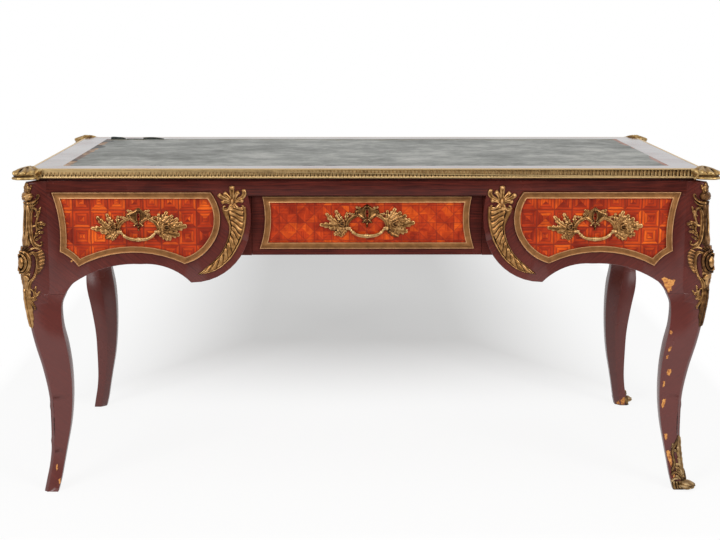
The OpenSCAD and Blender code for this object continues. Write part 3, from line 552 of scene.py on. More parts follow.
def add_object(name, data):
    """An object of the scene, at the origin."""
    obj = bpy.data.objects.new(name, data)
    bpy.context.collection.objects.link(obj)
    return obj


def mesh_from(bm, name):
    """A bmesh as a mesh; the bmesh is used up."""
    mesh = bpy.data.meshes.new(name)
    bm.to_mesh(mesh)
    bm.free()
    return mesh


def finish_piece(bm, name, node, finish, sharp=40, replaces=()):
    """Turns a bmesh into a piece with a named finish that rides with a node's body. Edges over sharp
    degrees stay crisp."""
    mesh = mesh_from(bm, name)
    mesh.shade_smooth()
    mesh.set_sharp_from_angle(angle=math.radians(sharp))
    obj = add_object(name, mesh)
    obj.data.materials.append(bpy.data.materials[finish])
    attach(obj, body_of_node(node))
    if replaces:
        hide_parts(*replaces)
    return obj


def smooth_path(points, u):
    """Point and direction at u, from 0 to 1, on a smooth curve through points (x, z)."""
    last = len(points) - 1
    place = min(max(u, 0.0), 1.0) * last
    k = min(int(place), last - 1)
    t = place - k
    a, b = Vector(points[k]), Vector(points[k + 1])
    before = Vector(points[k - 1]) if k > 0 else a * 2 - b
    after = Vector(points[k + 2]) if k + 2 <= last else b * 2 - a
    start, end = (b - before) / 2, (after - a) / 2
    point = ((2 * t ** 3 - 3 * t * t + 1) * a + (t ** 3 - 2 * t * t + t) * start
             + (3 * t * t - 2 * t ** 3) * b + (t ** 3 - t * t) * end)
    way = ((6 * t * t - 6 * t) * a + (3 * t * t - 4 * t + 1) * start
           + (6 * t - 6 * t * t) * b + (3 * t * t - 2 * t) * end)
    return point, (way.normalized() if way.length > 0 else (b - a).normalized())


def formed_grid(bm, columns, rows, form, gap=0.004):
    """A grid whose points go where form(u, v) says, u and v from 0 to 1; points closer than gap, in the
    form's own unit, are merged, which closes its seams."""
    made = bmesh.ops.create_grid(bm, x_segments=columns, y_segments=rows, size=0.5)
    for vert in made["verts"]:
        vert.co = form(vert.co.x + 0.5, vert.co.y + 0.5)
    bmesh.ops.remove_doubles(bm, verts=made["verts"], dist=gap)


def wrap(v, top_share=0.7):
    """Goes round a flat-backed section: across from 1 to -1 over the top, then back underneath."""
    if v <= top_share:
        return math.cos(math.pi * v / top_share), v > 0
    return -math.cos(math.pi * (v - top_share) / (1 - top_share)), False


def scroll(bm, points, widths, height, lift=0.0, groove=0.0, steps=0):
    """A rounded bar along a curve, in mm: x, z and height above the ground. widths are at equal steps
    along it; groove hollows its back."""
    steps = steps or 6 * (len(points) - 1)

    def form(u, v):
        point, way = smooth_path(points, u)
        across, top = wrap(v)
        place = u * (len(widths) - 1)
        k = min(int(place), len(widths) - 2)
        width = widths[k] + (widths[k + 1] - widths[k]) * (place - k)
        near = min(u, 1 - u) / 0.1
        tip = math.sqrt(max(0.0, 1 - (1 - near) ** 2)) if near < 1 else 1.0
        side = Vector((-way.y, way.x)) * across * width / 2 * tip
        crown = math.sqrt(max(0.0, 1 - across * across))
        hollow = 1 - groove * max(0.0, 1 - (across / 0.5) ** 2)
        rise = height * (0.35 + 0.65 * width / max(widths)) * tip * crown * hollow if top else SUNK
        return Vector((point.x + side.x, point.y + side.y, lift + rise if top else rise))

    formed_grid(bm, steps, 12 if groove else 9, form)


def volute(bm, centre, radius, turns, start, turn, width, height, lift=0.0):
    """A scroll's curled end: a spiral bar that closes on a small boss."""
    count = max(8, int(10 * turns))
    points = []
    for k in range(count + 1):
        t = k / count
        angle = start + turn * t * turns * 2 * math.pi
        reach = radius * (1 - 0.82 * t)
        points.append((centre[0] + reach * math.cos(angle), centre[1] + reach * math.sin(angle)))
    scroll(bm, points, (width, width * 0.7), height, lift=lift, steps=2 * count)
    boss(bm, centre, radius * 0.34, radius * 0.34, height * 1.1, lift)


def boss(bm, centre, half_x, half_z, height, lift=0.0, ribs=0):
    """A domed button, plain or fluted."""
    def form(u, v):
        angle = 2 * math.pi * u
        reach = math.sin(math.pi / 2 * v) if v < 1 else 1.0
        flute = 1 + 0.16 * abs(math.cos(ribs * angle / 2)) if ribs else 1.0
        rise = height * math.cos(math.pi / 2 * v) * (flute if 0 < v < 1 else 1)
        return Vector((centre[0] + half_x * reach * flute * math.cos(angle),
                       centre[1] + half_z * reach * flute * math.sin(angle),
                       lift + rise if v < 1 else SUNK))

    formed_grid(bm, max(14, ribs * 5), 6, form)
    close_rims(bm)


def leaf(bm, points, width, height, lobes=5, cut=0.45, curl=0.0, lift=0.0, steps=0):
    """A lobed leaf along a curve: a hollow vein, a ridge each side, and lobes whose pointed tips lean
    forwards. curl lifts its tip."""
    steps = steps or max(12, 6 * lobes)
    # How far along a lobe its point is
    peak = 0.72

    def form(u, v):
        point, way = smooth_path(points, u)
        across, top = wrap(v, top_share=0.72)
        size = abs(across)
        swell = math.sin(math.pi * min(1.0, 0.14 + 0.86 * u)) ** 0.55 if 0 < u < 1 else 0.0
        phase = lobes * u % 1.0
        wave = min(phase / peak, (1 - phase) / (1 - peak)) if lobes else 1.0
        reach = width / 2 * swell * (1 - cut * (1 - wave))
        side = Vector((-way.y, way.x)) * across * reach + way * (0.4 * size * reach if lobes else 0)
        ridge = math.sin(math.pi * min(1.0, size * 0.88 + 0.12)) ** 0.7
        rib = 0.74 + 0.26 * wave if lobes else 1.0
        rise = height * swell * (0.35 + 0.65 * ridge * rib) * (1 if size < 1 else 0.25)
        return Vector((point.x + side.x, point.y + side.y,
                       lift + curl * u * u + rise if top else SUNK))

    formed_grid(bm, steps, 14, form)


def span(bm, left, right, rise, columns, rows, scallop=None):
    """A relief between two curves. rise(u, share) is its height along the curves and from left to
    right; scallop(u) is how far it reaches towards the right-hand curve."""
    def form(u, v):
        around, top = wrap(v, top_share=0.82)
        share = 0.5 - 0.5 * around
        reach = scallop(u) if scallop else 1.0
        a, b = smooth_path(left, u)[0], smooth_path(right, u)[0]
        place = a.lerp(b, share * reach)
        return Vector((place.x, place.y, rise(u, share) if top else SUNK))

    formed_grid(bm, columns, rows, form)
    close_rims(bm)


def shell(bm, root, inner, outer, start, end, height, ribs=7, lift=0.0):
    """A ribbed shell that fans out round a root point, between two angles in degrees."""
    def arc(reach):
        angles = [math.radians(start + (end - start) * k / 6) for k in range(7)]
        return [(root[0] + reach * math.cos(a), root[1] + reach * math.sin(a)) for a in angles]

    def rise(u, share):
        wave = abs(math.sin(ribs * math.pi * u))
        return lift + height * (0.35 + 0.65 * wave) * (0.5 + 0.5 * math.sin(math.pi * (0.15 + 0.7 * share)))

    span(bm, arc(inner), arc(outer), rise, int(ribs * 5), 9,
         lambda u: 0.84 + 0.16 * abs(math.sin(ribs * math.pi * u)))


def petal(bm, points, root, tip, height, lift=0.0):
    """A palmette's petal: a hollowed bar that widens to a round, raised end."""
    scroll(bm, points, (root, (root + tip) / 2, tip, tip), height, lift=lift, groove=0.45)
    end, way = smooth_path(points, 1.0)
    radius = tip * 0.42
    seat = end - way * radius
    boss(bm, (seat.x, seat.y), radius, radius, height * 1.15, lift)


def close_rims(bm):
    """Closes every open rim with one face."""
    rims = [e for e in bm.edges if len(e.link_faces) == 1]
    if rims:
        bmesh.ops.holes_fill(bm, edges=rims, sides=0)


def add_pin(bm, radii, length, axis, place):
    """Adds a round pin with its radii in mm at both ends, turned from upright about the named axis."""
    pin = bmesh.ops.create_cone(bm, cap_ends=True, segments=20, radius1=radii[0] * MM,
                                radius2=radii[1] * MM, depth=length)["verts"]
    bmesh.ops.rotate(bm, verts=pin, cent=(0, 0, 0), matrix=Matrix.Rotation(math.pi / 2, 3, axis))
    bmesh.ops.translate(bm, verts=pin, vec=place)


def add_mirror_image(bm):
    """Adds a relief's mirror image across x = 0."""
    made = bm.verts[:] + bm.edges[:] + bm.faces[:]
    twin = bmesh.ops.duplicate(bm, geom=made)["geom"]
    verts = [v for v in twin if isinstance(v, bmesh.types.BMVert)]
    bmesh.ops.scale(bm, vec=(-1, 1, 1), verts=verts)


def lay_flat(centre, face, out):
    """Places a relief on an upright face: x to the right, z up, height outwards (out is -1 or 1 on Y)."""
    def lay(p):
        return Vector((centre[0] + p.x * MM, face + out * p.z * MM, centre[1] + p.y * MM))
    return lay


def ground_of(nodes):
    """The surface of CAD nodes, for reliefs that lie on it."""
    bm = bmesh.new()
    for node in nodes:
        bm.from_mesh(NODES[node].data)
    tree = BVHTree.FromBMesh(bm)
    bm.free()
    return tree


def lay_on_corner(tree, corner, sx, sy):
    """Places a relief round a leg's outer corner: x is how far from the ridge a point shows when its
    own face is looked at squarely, y the height above the floor, z the height off the leg."""
    out = Vector((sx, sy, 0)).normalized()
    # How far off the leg the rays start, and how far from the ridge a face is fully its own, in mm
    away, turned = 0.3, 14
    ridges = {}

    def cast(origin, way):
        return tree.ray_cast(origin, way)[0] or tree.find_nearest(origin + way * away)[0]

    def lay(p):
        z = p.y * MM
        level = round(p.y)
        if level not in ridges:
            ridges[level] = cast(Vector((corner[0], corner[1], max(z, 1 * MM))) + out * away, -out)
        ridge, side = ridges[level], abs(p.x) * MM
        if p.x >= 0:
            hit = cast(Vector((ridge.x - sx * side, ridge.y + sy * away, z)), Vector((0, -sy, 0)))
        else:
            hit = cast(Vector((ridge.x + sx * away, ridge.y - sy * side, z)), Vector((-sx, 0, 0)))
        bend = min(1.0, abs(p.x) / turned) * math.pi / 4
        edge = Vector((-sx if p.x >= 0 else sx, sy if p.x >= 0 else -sy, 0)).normalized()
        normal = out * math.cos(bend) + edge * math.sin(bend)
        return Vector((hit.x, hit.y, z)) + normal * p.z * MM
    return lay


def place_relief(bm, lay):
    """Puts a drawn relief where lay says, with its faces outwards."""
    for vert in bm.verts:
        vert.co = lay(vert.co)
    bmesh.ops.recalc_face_normals(bm, faces=bm.faces)


def outer_corner(node, sx, sy):
    """A CAD node's corner in plan, on the side that the signs of X and Y say."""
    low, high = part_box(node)
    return (high.x if sx > 0 else low.x, high.y if sy > 0 else low.y)


def draw_chute(bm):
    """Half of a corner chute, right of the ridge; x is the way round, y the height, in mm."""
    # Plume over the knob, and the ribbed bowl under it
    leaf(bm, [(1.5, 722), (3, 736), (1, 749)], 11, 4, lobes=3, lift=1.5)
    leaf(bm, [(4, 720), (9, 733), (13.5, 744)], 9, 4, lobes=3, lift=1)
    span(bm, [(0, 706), (9, 705), (18, 708), (27, 714)], [(0, 686), (8, 687), (17, 690), (25, 699)],
         lambda u, s: 2.6 + 3.4 * abs(math.sin(7 * math.pi * u)) * (1 - 0.5 * s), 34, 9)
    scroll(bm, [(2, 703), (12, 702), (22, 705.5), (29, 711), (32.5, 717), (30, 721)], (6, 6, 5.5, 4.5),
           6.5, lift=1.6, groove=0.3)
    volute(bm, (29.5, 717), 3.6, 0.8, 0.3, 1, 3, 6.5, lift=0.8)
    scroll(bm, [(9, 695), (18, 695.5), (26, 699.5), (31, 705)], (4, 4.5, 3), 5.5, lift=1)
    # Stem: an outer and an inner bar with a web between them
    span(bm, [(0, 692), (0, 660), (0, 625), (0, 592)], [(17, 691), (12.5, 662), (13.5, 637), (20, 610)],
         lambda u, s: 2.2, 16, 6)
    scroll(bm, [(3, 700), (6, 684), (6.8, 664), (7.2, 644), (4.5, 622), (2, 605), (1, 590)],
           (9, 11, 11, 10, 7), 6.5, lift=1, groove=0.35)
    scroll(bm, [(19, 692), (13, 676), (12.4, 656), (14.6, 634), (20, 612), (30, 598), (44, 591)],
           (6, 8, 9, 10.5, 11, 9, 4), 7.5, lift=0.8, groove=0.4, steps=44)
    # Rim of the two openings
    scroll(bm, [(14, 690), (21, 689), (27, 684), (28.5, 677), (26.5, 671), (21.5, 670.5)],
           (5, 5.5, 5, 4, 3), 6, lift=0.7, groove=0.25)
    scroll(bm, [(28, 685), (31.5, 675), (29, 663), (26.5, 651), (29.5, 640), (26, 627), (21, 613)],
           (5, 6.5, 7.5, 8, 7.5, 6.5, 5), 5, lift=0.5)
    leaf(bm, [(29, 662), (33, 677), (38, 692)], 9, 4, lobes=3, lift=0.6, curl=1)
    scroll(bm, [(12, 646.8), (20, 647.3), (28, 649)], (5, 6.5, 6.5), 4.5, lift=0.6)
    # Buds along the outer edge
    leaf(bm, [(26, 645), (34, 653), (43, 652), (52.5, 647)], 12, 6, lobes=3, lift=1, curl=2)
    leaf(bm, [(28, 639), (38, 641.5), (47, 643)], 8, 5, lobes=2, lift=0.8, curl=1)
    volute(bm, (34.5, 647), 5.2, 0.9, 2.4, -1, 3.4, 7.5, lift=1)
    leaf(bm, [(25, 622), (35, 631), (47.5, 631)], 11, 5.5, lobes=3, lift=1, curl=1.5)
    leaf(bm, [(24, 613), (33, 617), (42, 622)], 7.5, 4.5, lobes=2, lift=0.8)
    scroll(bm, [(23, 611), (31, 604), (39, 600.5), (44.5, 603), (43.5, 609.5)], (5, 6, 5, 4.5, 4), 5.5,
           lift=0.8)
    boss(bm, (43, 608.5), 3, 3, 7, lift=0.5)
    # Bands that sweep out over the ribbed fan
    scroll(bm, [(0, 584), (8, 589.5), (18, 594.5), (30, 596), (42, 590)], (6, 7, 7, 6, 3.5), 6, lift=1.2)
    scroll(bm, [(3, 575), (12, 583.5), (23, 587), (33, 583)], (4, 5.5, 5, 4), 6, lift=1)
    span(bm, [(28, 586), (33.5, 576), (35.5, 562), (33, 548), (27, 534)],
         [(46, 592), (53.5, 579), (54.5, 565), (50.5, 550), (38, 535)],
         lambda u, s: 3.2 + 2.0 * abs(math.sin(7 * math.pi * u)) ** 0.7 * (1 - 0.35 * s), 63, 9,
         lambda u: 0.88 + 0.12 * abs(math.sin(7 * math.pi * u)))
    scroll(bm, [(14, 584.5), (24, 584.5), (31.5, 577), (35, 563), (33, 547), (26, 530), (18, 522)],
           (6, 8, 9, 9, 8, 7, 5), 8, lift=1.2, groove=0.3, steps=44)
    # Ruffle between the cartouche and the long slot
    span(bm, [(9, 588), (12, 575), (12.5, 562), (11, 546), (8, 533)],
         [(17, 585), (16.5, 573), (16.8, 558), (15.8, 544), (15, 528)],
         lambda u, s: 2.4 + 2.6 * abs(math.sin(6 * math.pi * u)), 42, 7,
         lambda u: 0.75 + 0.25 * abs(math.sin(6 * math.pi * u)))
    # Lower scroll, its three-lobed leaf and the link between them
    scroll(bm, [(27, 524), (18, 521.5), (12, 512), (9.7, 495), (11, 477), (16, 463.5), (20.5, 454.5),
                (16.5, 449)], (5, 9, 9, 8, 7, 6, 5, 4), 6.5, lift=0.8, groove=0.3, steps=44)
    leaf(bm, [(12, 470), (19, 480), (24, 493), (27.5, 507)], 10, 4, lobes=3, lift=0.6)
    leaf(bm, [(14, 472), (24, 481), (31, 487), (38, 493)], 9, 4, lobes=3, lift=0.6)
    leaf(bm, [(13, 476), (20, 473), (28, 475)], 7, 3.5, lobes=2, lift=0.5)
    scroll(bm, [(10, 498), (15, 499), (20, 493), (20, 482)], (3, 4.5, 4.5, 4), 4, lift=0.5)


def draw_chute_ridge(bm):
    """What stands on a chute's ridge: the knob, the oval cartouche and the long drop."""
    boss(bm, (0, 716), 12.5, 10.5, 8.5, lift=1.5, ribs=9)
    boss(bm, (0, 717), 6.5, 5.5, 11, lift=2)
    shell(bm, (0, 586), 2, 17, 20, 160, 5, ribs=7, lift=4.5)
    boss(bm, (0, 563.6), 5, 15, 8, lift=9)
    for wide, tall, thick, lift in ((8.2, 20.5, 3.6, 8), (12.6, 26.5, 6, 5.5)):
        ring = [(wide * math.cos(a), 563.6 + tall * math.sin(a)) for a in
                (k * math.pi / 8 - math.pi / 2 for k in range(9))]
        for way in (1, -1):
            scroll(bm, [(way * x, z) for x, z in ring], (thick, thick), 8.5, lift=lift, groove=0.2,
                   steps=36)
    leaf(bm, [(0, 548), (0, 530), (0, 506)], 24, 6.5, lobes=3, lift=3)
    leaf(bm, [(0, 530), (0, 500), (0, 470), (0, 436), (0, 404)], 25, 6, lobes=6, cut=0.18, lift=1)
    scroll(bm, [(0, 506), (0, 470), (0, 430), (0, 405)], (6, 6, 5, 3), 7.5, lift=1.5)


def make_chutes():
    """The four openwork corner chutes, each in the place of its CAD node."""
    # The openwork is drawn unrolled, and is this much narrower round the leg
    narrowing = 0.79
    drawn = bmesh.new()
    draw_chute(drawn)
    bmesh.ops.scale(drawn, vec=(narrowing, 1, 1), verts=drawn.verts)
    add_mirror_image(drawn)
    draw_chute_ridge(drawn)
    for name, (sx, sy) in CORNERS.items():
        leg, node = f"leg_{name}", f"chute_{name}"
        side = "right" if sx > 0 else "left"
        behind = [f"pedestal_front_{side}"] if sy < 0 else ["back_panel"]
        corner = outer_corner(leg, sx, sy)
        bm = drawn.copy()
        ground = ground_of([leg, f"side_panel_{side}"] + behind)
        place_relief(bm, lay_on_corner(ground, corner, sx, sy))
        keep_inside(bm)
        finish_piece(bm, f"chute_casting_{name}", node, "gilt bronze, cast", sharp=50,
                     replaces=[node])
    drawn.free()


def keep_inside(bm):
    """Holds every point inside the CAD's box."""
    low, high = (Vector(corner) for corner in CAD_BOX)
    for vert in bm.verts:
        for k in range(3):
            vert.co[k] = min(max(vert.co[k], low[k]), high[k])


def draw_sabot(bm):
    """Half of a sabot, right of the ridge: open leafwork over the foot, a rolled toe and a low band;
    y is the height above the floor in mm."""
    scroll(bm, [(1.5, 129), (8, 110), (14.5, 99), (16, 82), (14, 66), (18, 54), (25, 42)],
           (3, 7, 8, 7, 7, 8, 6), 4.5, lift=0.8, groove=0.3, steps=40)
    leaf(bm, [(4, 88), (12, 96), (15, 104), (14, 112)], 8, 3.5, lobes=3, lift=0.6)
    span(bm, [(0, 62), (0, 50), (0, 36), (0, 20)], [(15, 64), (14, 53), (14, 40), (20, 30)],
         lambda u, s: 1.4 + 1.2 * abs(math.sin(4 * math.pi * u)), 26, 7)
    scroll(bm, [(27, 34), (21, 41), (13, 41), (7, 33), (2, 20)], (5, 7, 7, 6, 4), 6, lift=1.2,
           groove=0.3)
    span(bm, [(0, 22), (12, 21), (24, 22), (37, 27)], [(0, 1), (12, 1), (24, 1), (37, 1)],
         lambda u, s: 2.6 + 2.4 * abs(math.sin(5 * math.pi * u)) + 7 * max(0, 1 - u / 0.35)
         * math.sin(math.pi * min(1, s + 0.1)), 40, 9)
    scroll(bm, [(12, 26), (20, 27), (28, 22), (34, 14)], (4, 5, 5, 4), 5, lift=1.5)
    scroll(bm, [(0, 3.5), (12, 3), (24, 3), (37, 3)], (6, 5.5, 5, 5), 4.5, lift=1.2)


def draw_toe(bm):
    """What stands on a sabot's ridge: the long leaf and the rolled toe."""
    leaf(bm, [(0, 34), (0, 66), (0, 98), (0, 130)], 15, 4.5, lobes=7, cut=0.25, lift=1)
    boss(bm, (0, 12), 12, 10, 21, lift=3, ribs=7)
    for x in (-11, 11):
        boss(bm, (x, 9), 6, 6, 7, lift=2.5)


def make_sabots():
    """The two sabots that are left: whole in front, broken off above its band behind."""
    lowest = 0.4 * MM
    for name, whole in (("front_right", True), ("back_right", False)):
        sx, sy = CORNERS[name]
        node, leg = f"sabot_{name}", f"leg_{name}"
        drawn = bmesh.new()
        draw_sabot(drawn)
        add_mirror_image(drawn)
        draw_toe(drawn)
        if not whole:
            for vert in drawn.verts:
                # The break is ragged, and low on the sides
                broken = 46 + 5 * math.sin(vert.co.x * 0.9) - 0.5 * abs(vert.co.x)
                if vert.co.y > broken:
                    vert.co.y = broken + (vert.co.y - broken) * 0.04
                    vert.co.z *= 0.4
        corner = outer_corner(node, sx, sy)
        place_relief(drawn, lay_on_corner(ground_of([leg]), corner, sx, sy))
        keep_inside(drawn)
        for vert in drawn.verts:
            vert.co.z = max(vert.co.z, lowest)
        finish_piece(drawn, f"sabot_casting_{name}", node, "gilt bronze, dull", sharp=50,
                     replaces=[node])


def draw_arm(bm):
    """Half of a handle's shield and its arm, right of the keyhole; x and y in mm from it."""
    edge = [(0, 21.5), (4, 17), (11, 12.5), (19, 9.5), (26, 6), (24.5, 0), (18, -6), (11.5, -10.5),
            (7, -15), (4, -21)]
    span(bm, [(0.5, 20), (2.6, 12), (3.4, 7), (3.4, 0), (3.4, -7), (2, -12), (0.5, -20)],
         [(3, 18), (11, 12), (22, 7), (22, 1), (16, -6), (9, -12), (3, -21)],
         lambda u, s: 1.8 + 2.6 * s * s, 30, 8)
    scroll(bm, edge, (5, 5, 5, 6, 6, 5.5, 5, 4.5), 5.4, lift=0.8, groove=0.35, steps=60)
    scroll(bm, [(0.3, 11), (3.6, 8), (4.4, 0), (3.6, -7), (0.3, -10.5)], (2.2, 2.2), 4.6, lift=1.2,
           steps=24)
    leaf(bm, [(12, 11), (17, 13), (22, 14), (27, 16.5)], 8, 4, lobes=2, cut=0.3, lift=1, curl=1)
    volute(bm, (17.5, 2.5), 4.2, 1, 2.2, -1, 3.2, 5, lift=1)
    boss(bm, (0, 16), 3.2, 5, 6, lift=1.5)
    # Arm down to the pivot, with its leaf
    scroll(bm, [(20, -3), (30, -6.5), (39, -12.5), (45, -21), (46.5, -30), (44, -39)],
           (8, 9.5, 10.5, 10, 9, 7), 6.5, lift=0.8, groove=0.3, steps=40)
    leaf(bm, [(26, -2), (33, -2), (38, -1), (43, 2)], 8, 4.5, lobes=2, cut=0.3, lift=1, curl=1)
    # Trefoil drop under the shield
    scroll(bm, [(1, -12), (6, -16), (9.5, -20)], (4, 4, 3), 4, lift=1)
    boss(bm, (9.5, -20), 3, 3, 5.5, lift=0.8)
    boss(bm, (0, -23.5), 3.4, 4.6, 6.5, lift=1)
    boss(bm, (0, -30), 2.2, 3, 4.5, lift=0.8)
    boss(bm, (46, -34), 6, 7, 5, lift=0.8, ribs=6)


def draw_sprays(bm):
    """The leaf sprays: a narrow one on the left, a broad fan on the right, as the casting has them."""
    narrow = [
        ([(-44, -30), (-66, -28), (-88, -28), (-112, -26)], 21, 8, 4.6),
        ([(-60, -27), (-74, -20), (-87, -10), (-97, 2)], 17, 5, 5.0),
        ([(-52, -25), (-61, -15), (-68, -5), (-74, 9)], 17, 5, 5.4),
        ([(-44, -22), (-47, -13), (-48, -5), (-46, 4)], 13, 4, 4.6),
        ([(-47, -34), (-54, -41), (-60, -48), (-64, -55)], 18, 5, 4.8),
        ([(-52, -33), (-62, -40), (-70, -46), (-78, -50)], 17, 5, 4.4),
        ([(-62, -30), (-71, -34), (-79, -37), (-88, -36)], 12, 4, 3.8)]
    broad = [
        ([(44, -30), (66, -28), (88, -25), (113, -21)], 26, 9, 4.6),
        ([(46, -33), (64, -37), (80, -41), (96, -42)], 22, 7, 4.4),
        ([(46, -36), (56, -43), (66, -49), (76, -53)], 18, 5, 4.8),
        ([(50, -27), (70, -22), (86, -18), (103, -14)], 21, 7, 5.0),
        ([(48, -26), (66, -17), (80, -11), (93, -3)], 20, 6, 5.2),
        ([(47, -25), (60, -13), (70, -4), (81, 4)], 19, 6, 5.4),
        ([(45, -24), (53, -11), (60, 0), (67, 14)], 19, 6, 5.6),
        ([(44, -22), (46, -12), (48, -1), (47, 9)], 13, 4, 4.8)]
    for points, width, lobes, height in narrow + broad:
        leaf(bm, points, width, height, lobes=round(0.7 * lobes), cut=0.42, lift=0.6, curl=0.8)
    # Rings round the two pierced holes
    for x, z in ((-57, -23), (67, -24)):
        ring = [(x + 7 * math.cos(a), z + 5.5 * math.sin(a)) for a in
                (0.4 + k * math.pi / 4 for k in range(8))]
        scroll(bm, ring, (3, 3.6, 3), 7, lift=3, steps=32)


def make_handles():
    """Three openwork handles with their lugs, and three bails that hang from them."""
    for side in FRONTS:
        node, bail = f"handle_{side}", f"bail_{side}"
        low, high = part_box(node)
        pivot = joint_of(f"{bail}_swing")
        keyhole = ((low.x + high.x) / 2, pivot.z + KEY_OVER_PIVOT)
        face = high.y
        bm = bmesh.new()
        draw_arm(bm)
        add_mirror_image(bm)
        draw_sprays(bm)
        place_relief(bm, lay_flat(keyhole, face, -1))
        # A lug at each end of the bail: an eye, and the post that carries it
        for lug_x in (keyhole[0] + end * 46.9 * MM for end in (-1, 1)):
            add_pin(bm, (4.4, 3.6), 5 * MM, "Y", (lug_x, pivot.y, pivot.z))
            add_pin(bm, (3.4, 2.6), face - pivot.y, "X", (lug_x, (face + pivot.y) / 2, pivot.z))
        finish_piece(bm, f"handle_casting_{side}", node, "gilt bronze, chased", sharp=50,
                     replaces=[node])
        make_bail(side, keyhole[0], pivot)


def joint_of(name):
    """A joint's place, from the record."""
    return Vector(next(j for j in frame["joints"] if j["name"] == name)["pos_m"])


def make_bail(side, x, pivot):
    """A drop bail: a swelling bar that is nearly straight below, collars, and a knob in the middle."""
    node = f"bail_{side}"
    # Half its width and its drop in mm, and how square its bow is
    half, drop, bow = 41.0, 18.0, 3.2
    # Each swelling's place along the bar, its width as a share of it, and its height in mm
    swells = ((0.5, 0.03, 1.6), (0.45, 0.014, 0.9), (0.55, 0.014, 0.9), (0.1, 0.02, 1.2),
              (0.9, 0.02, 1.2))
    bm = bmesh.new()

    def bar(u, v):
        s = 2 * u - 1
        size = 2.8 + 1.5 * math.sin(math.pi * u) ** 0.8
        size += sum(grow * math.exp(-((u - place) / width) ** 2) for place, width, grow in swells)
        b = 2 * math.pi * v
        # The bar's middle line, and its direction across
        down = Vector((half * s, -drop * (1 - abs(s) ** bow)))
        slope = drop * bow * abs(s) ** (bow - 1) * (1 if s > 0 else -1) / half
        across = Vector((slope, -1)).normalized() * size * math.cos(b)
        return Vector((x + (down.x + across.x) * MM, pivot.y + size * math.sin(b) * MM,
                       pivot.z + (down.y + across.y) * MM))

    formed_grid(bm, 90, 14, bar, gap=0.000001)
    close_rims(bm)
    # A knuckle at each end, and the thin pin beyond it
    for end in (-1, 1):
        for length, radius, place in ((6, 3.7, half), (9, 1.95, half + 4)):
            add_pin(bm, (radius, radius), length * MM, "Y", (x + end * place * MM, pivot.y, pivot.z))
    bmesh.ops.recalc_face_normals(bm, faces=bm.faces)
    finish_piece(bm, f"bail_bar_{side}", node, "gilt bronze, handled", sharp=45, replaces=[node])


def draw_palmette(bm):
    """The palmette over a horn, in mm: x from the table's middle, y the height."""
    petals = [
        ([(314, 700), (314.2, 715), (314.6, 728), (315, 740)], 8, 13, 6.0),
        ([(317, 704), (322, 712), (328, 718), (334, 724)], 7, 11, 5.0),
        ([(318, 702), (329, 708), (339, 713), (347, 720)], 7, 11, 4.6),
        ([(311, 704), (307.5, 714), (303, 722), (297, 726)], 7, 11, 5.0),
        ([(310, 702), (300, 708), (291, 713), (286, 721), (289, 732)], 7, 11, 4.6),
        ([(317, 698), (326, 702), (333, 702), (340, 699)], 7, 10, 4.4),
        ([(311, 698), (302, 704), (295, 705), (288, 702)], 7, 10, 4.4)]
    for points, root, tip, height in petals:
        petal(bm, points, root, tip, height, lift=0.8)
    boss(bm, (314, 703), 5, 8, 8, lift=1.5)
    scroll(bm, [(318, 697), (321, 688), (327, 682), (334, 684), (334, 691), (329, 692)],
           (7, 7, 6, 5.5, 5), 6.5, lift=0.8)
    scroll(bm, [(309, 697), (303, 690), (297, 684), (290, 685), (289, 691), (293, 694)],
           (7, 7, 6, 5.5, 5), 6.5, lift=0.8)
    leaf(bm, [(313, 668), (312, 684), (313, 700)], 24, 5.5, lobes=3, cut=0.3, lift=2)


def draw_horn(bm):
    """The gadrooned horn that sweeps down to the drawer's lower edge, in mm."""
    outer = [(283, 690), (281.5, 669), (284, 647), (289, 626), (295.5, 608), (305, 590), (316.5, 572),
              (330.5, 557), (349, 543), (372, 534), (396, 530.4)]
    inner = [(338.5, 687), (334.5, 674), (327, 658), (322.5, 644), (323, 628), (328, 610), (335, 594),
              (344.5, 578.5), (358.5, 563.5), (375, 549), (396, 531.6)]

    gadroons = 13

    def rise(u, share):
        """A bead along each edge, as a share of the width, and gadroons between the two."""
        band = 0.13 + 0.05 * u
        wide = 0.28 - 0.17 * min(1, u / 0.5)
        height = 3.0 + 5.4 * (1 - u) ** 0.5
        if share < band:
            return 1.5 + 0.62 * height * math.sin(math.pi * (0.12 + 0.76 * share / band))
        if share > 1 - wide:
            return 1.5 + 0.55 * height * math.sin(math.pi * (0.1 + 0.8 * (1 - share) / wide))
        between = (share - band) / (1 - band - wide)
        phase = gadroons * u ** 0.88 + 0.85 * between - 0.12 * math.sin(2 * math.pi * between) + 0.25
        bar = abs(math.sin(math.pi * phase)) ** 0.6
        return 1.2 + height * (0.48 + 0.52 * bar) * math.sin(math.pi * (0.12 + 0.76 * between)) ** 0.4

    span(bm, outer, inner, rise, columns=170, rows=34)


def make_horns():
    """The two horn mounts in front and the pair behind."""
    drawn = bmesh.new()
    draw_palmette(drawn)
    draw_horn(drawn)
    for node, sides in (("horn_left", [-1]), ("horn_right", [1]), ("horns_back", [-1, 1])):
        low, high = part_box(node)
        ground, out = (low.y, 1) if node == "horns_back" else (high.y, -1)
        bm = bmesh.new()
        for side in sides:
            horn = drawn.copy()
            bmesh.ops.scale(horn, vec=(side, 1, 1), verts=horn.verts)
            place_relief(horn, lay_flat((0, 0), ground, out))
            gather(bm, horn)
        keep_inside(bm)
        finish_piece(bm, node + "_casting", node, "gilt bronze, chased", sharp=50, replaces=[node])
    drawn.free()


def gather(bm, part):
    """Moves a part's mesh into another."""
    mesh = mesh_from(part, "part")
    bm.from_mesh(mesh)
    bpy.data.meshes.remove(mesh)


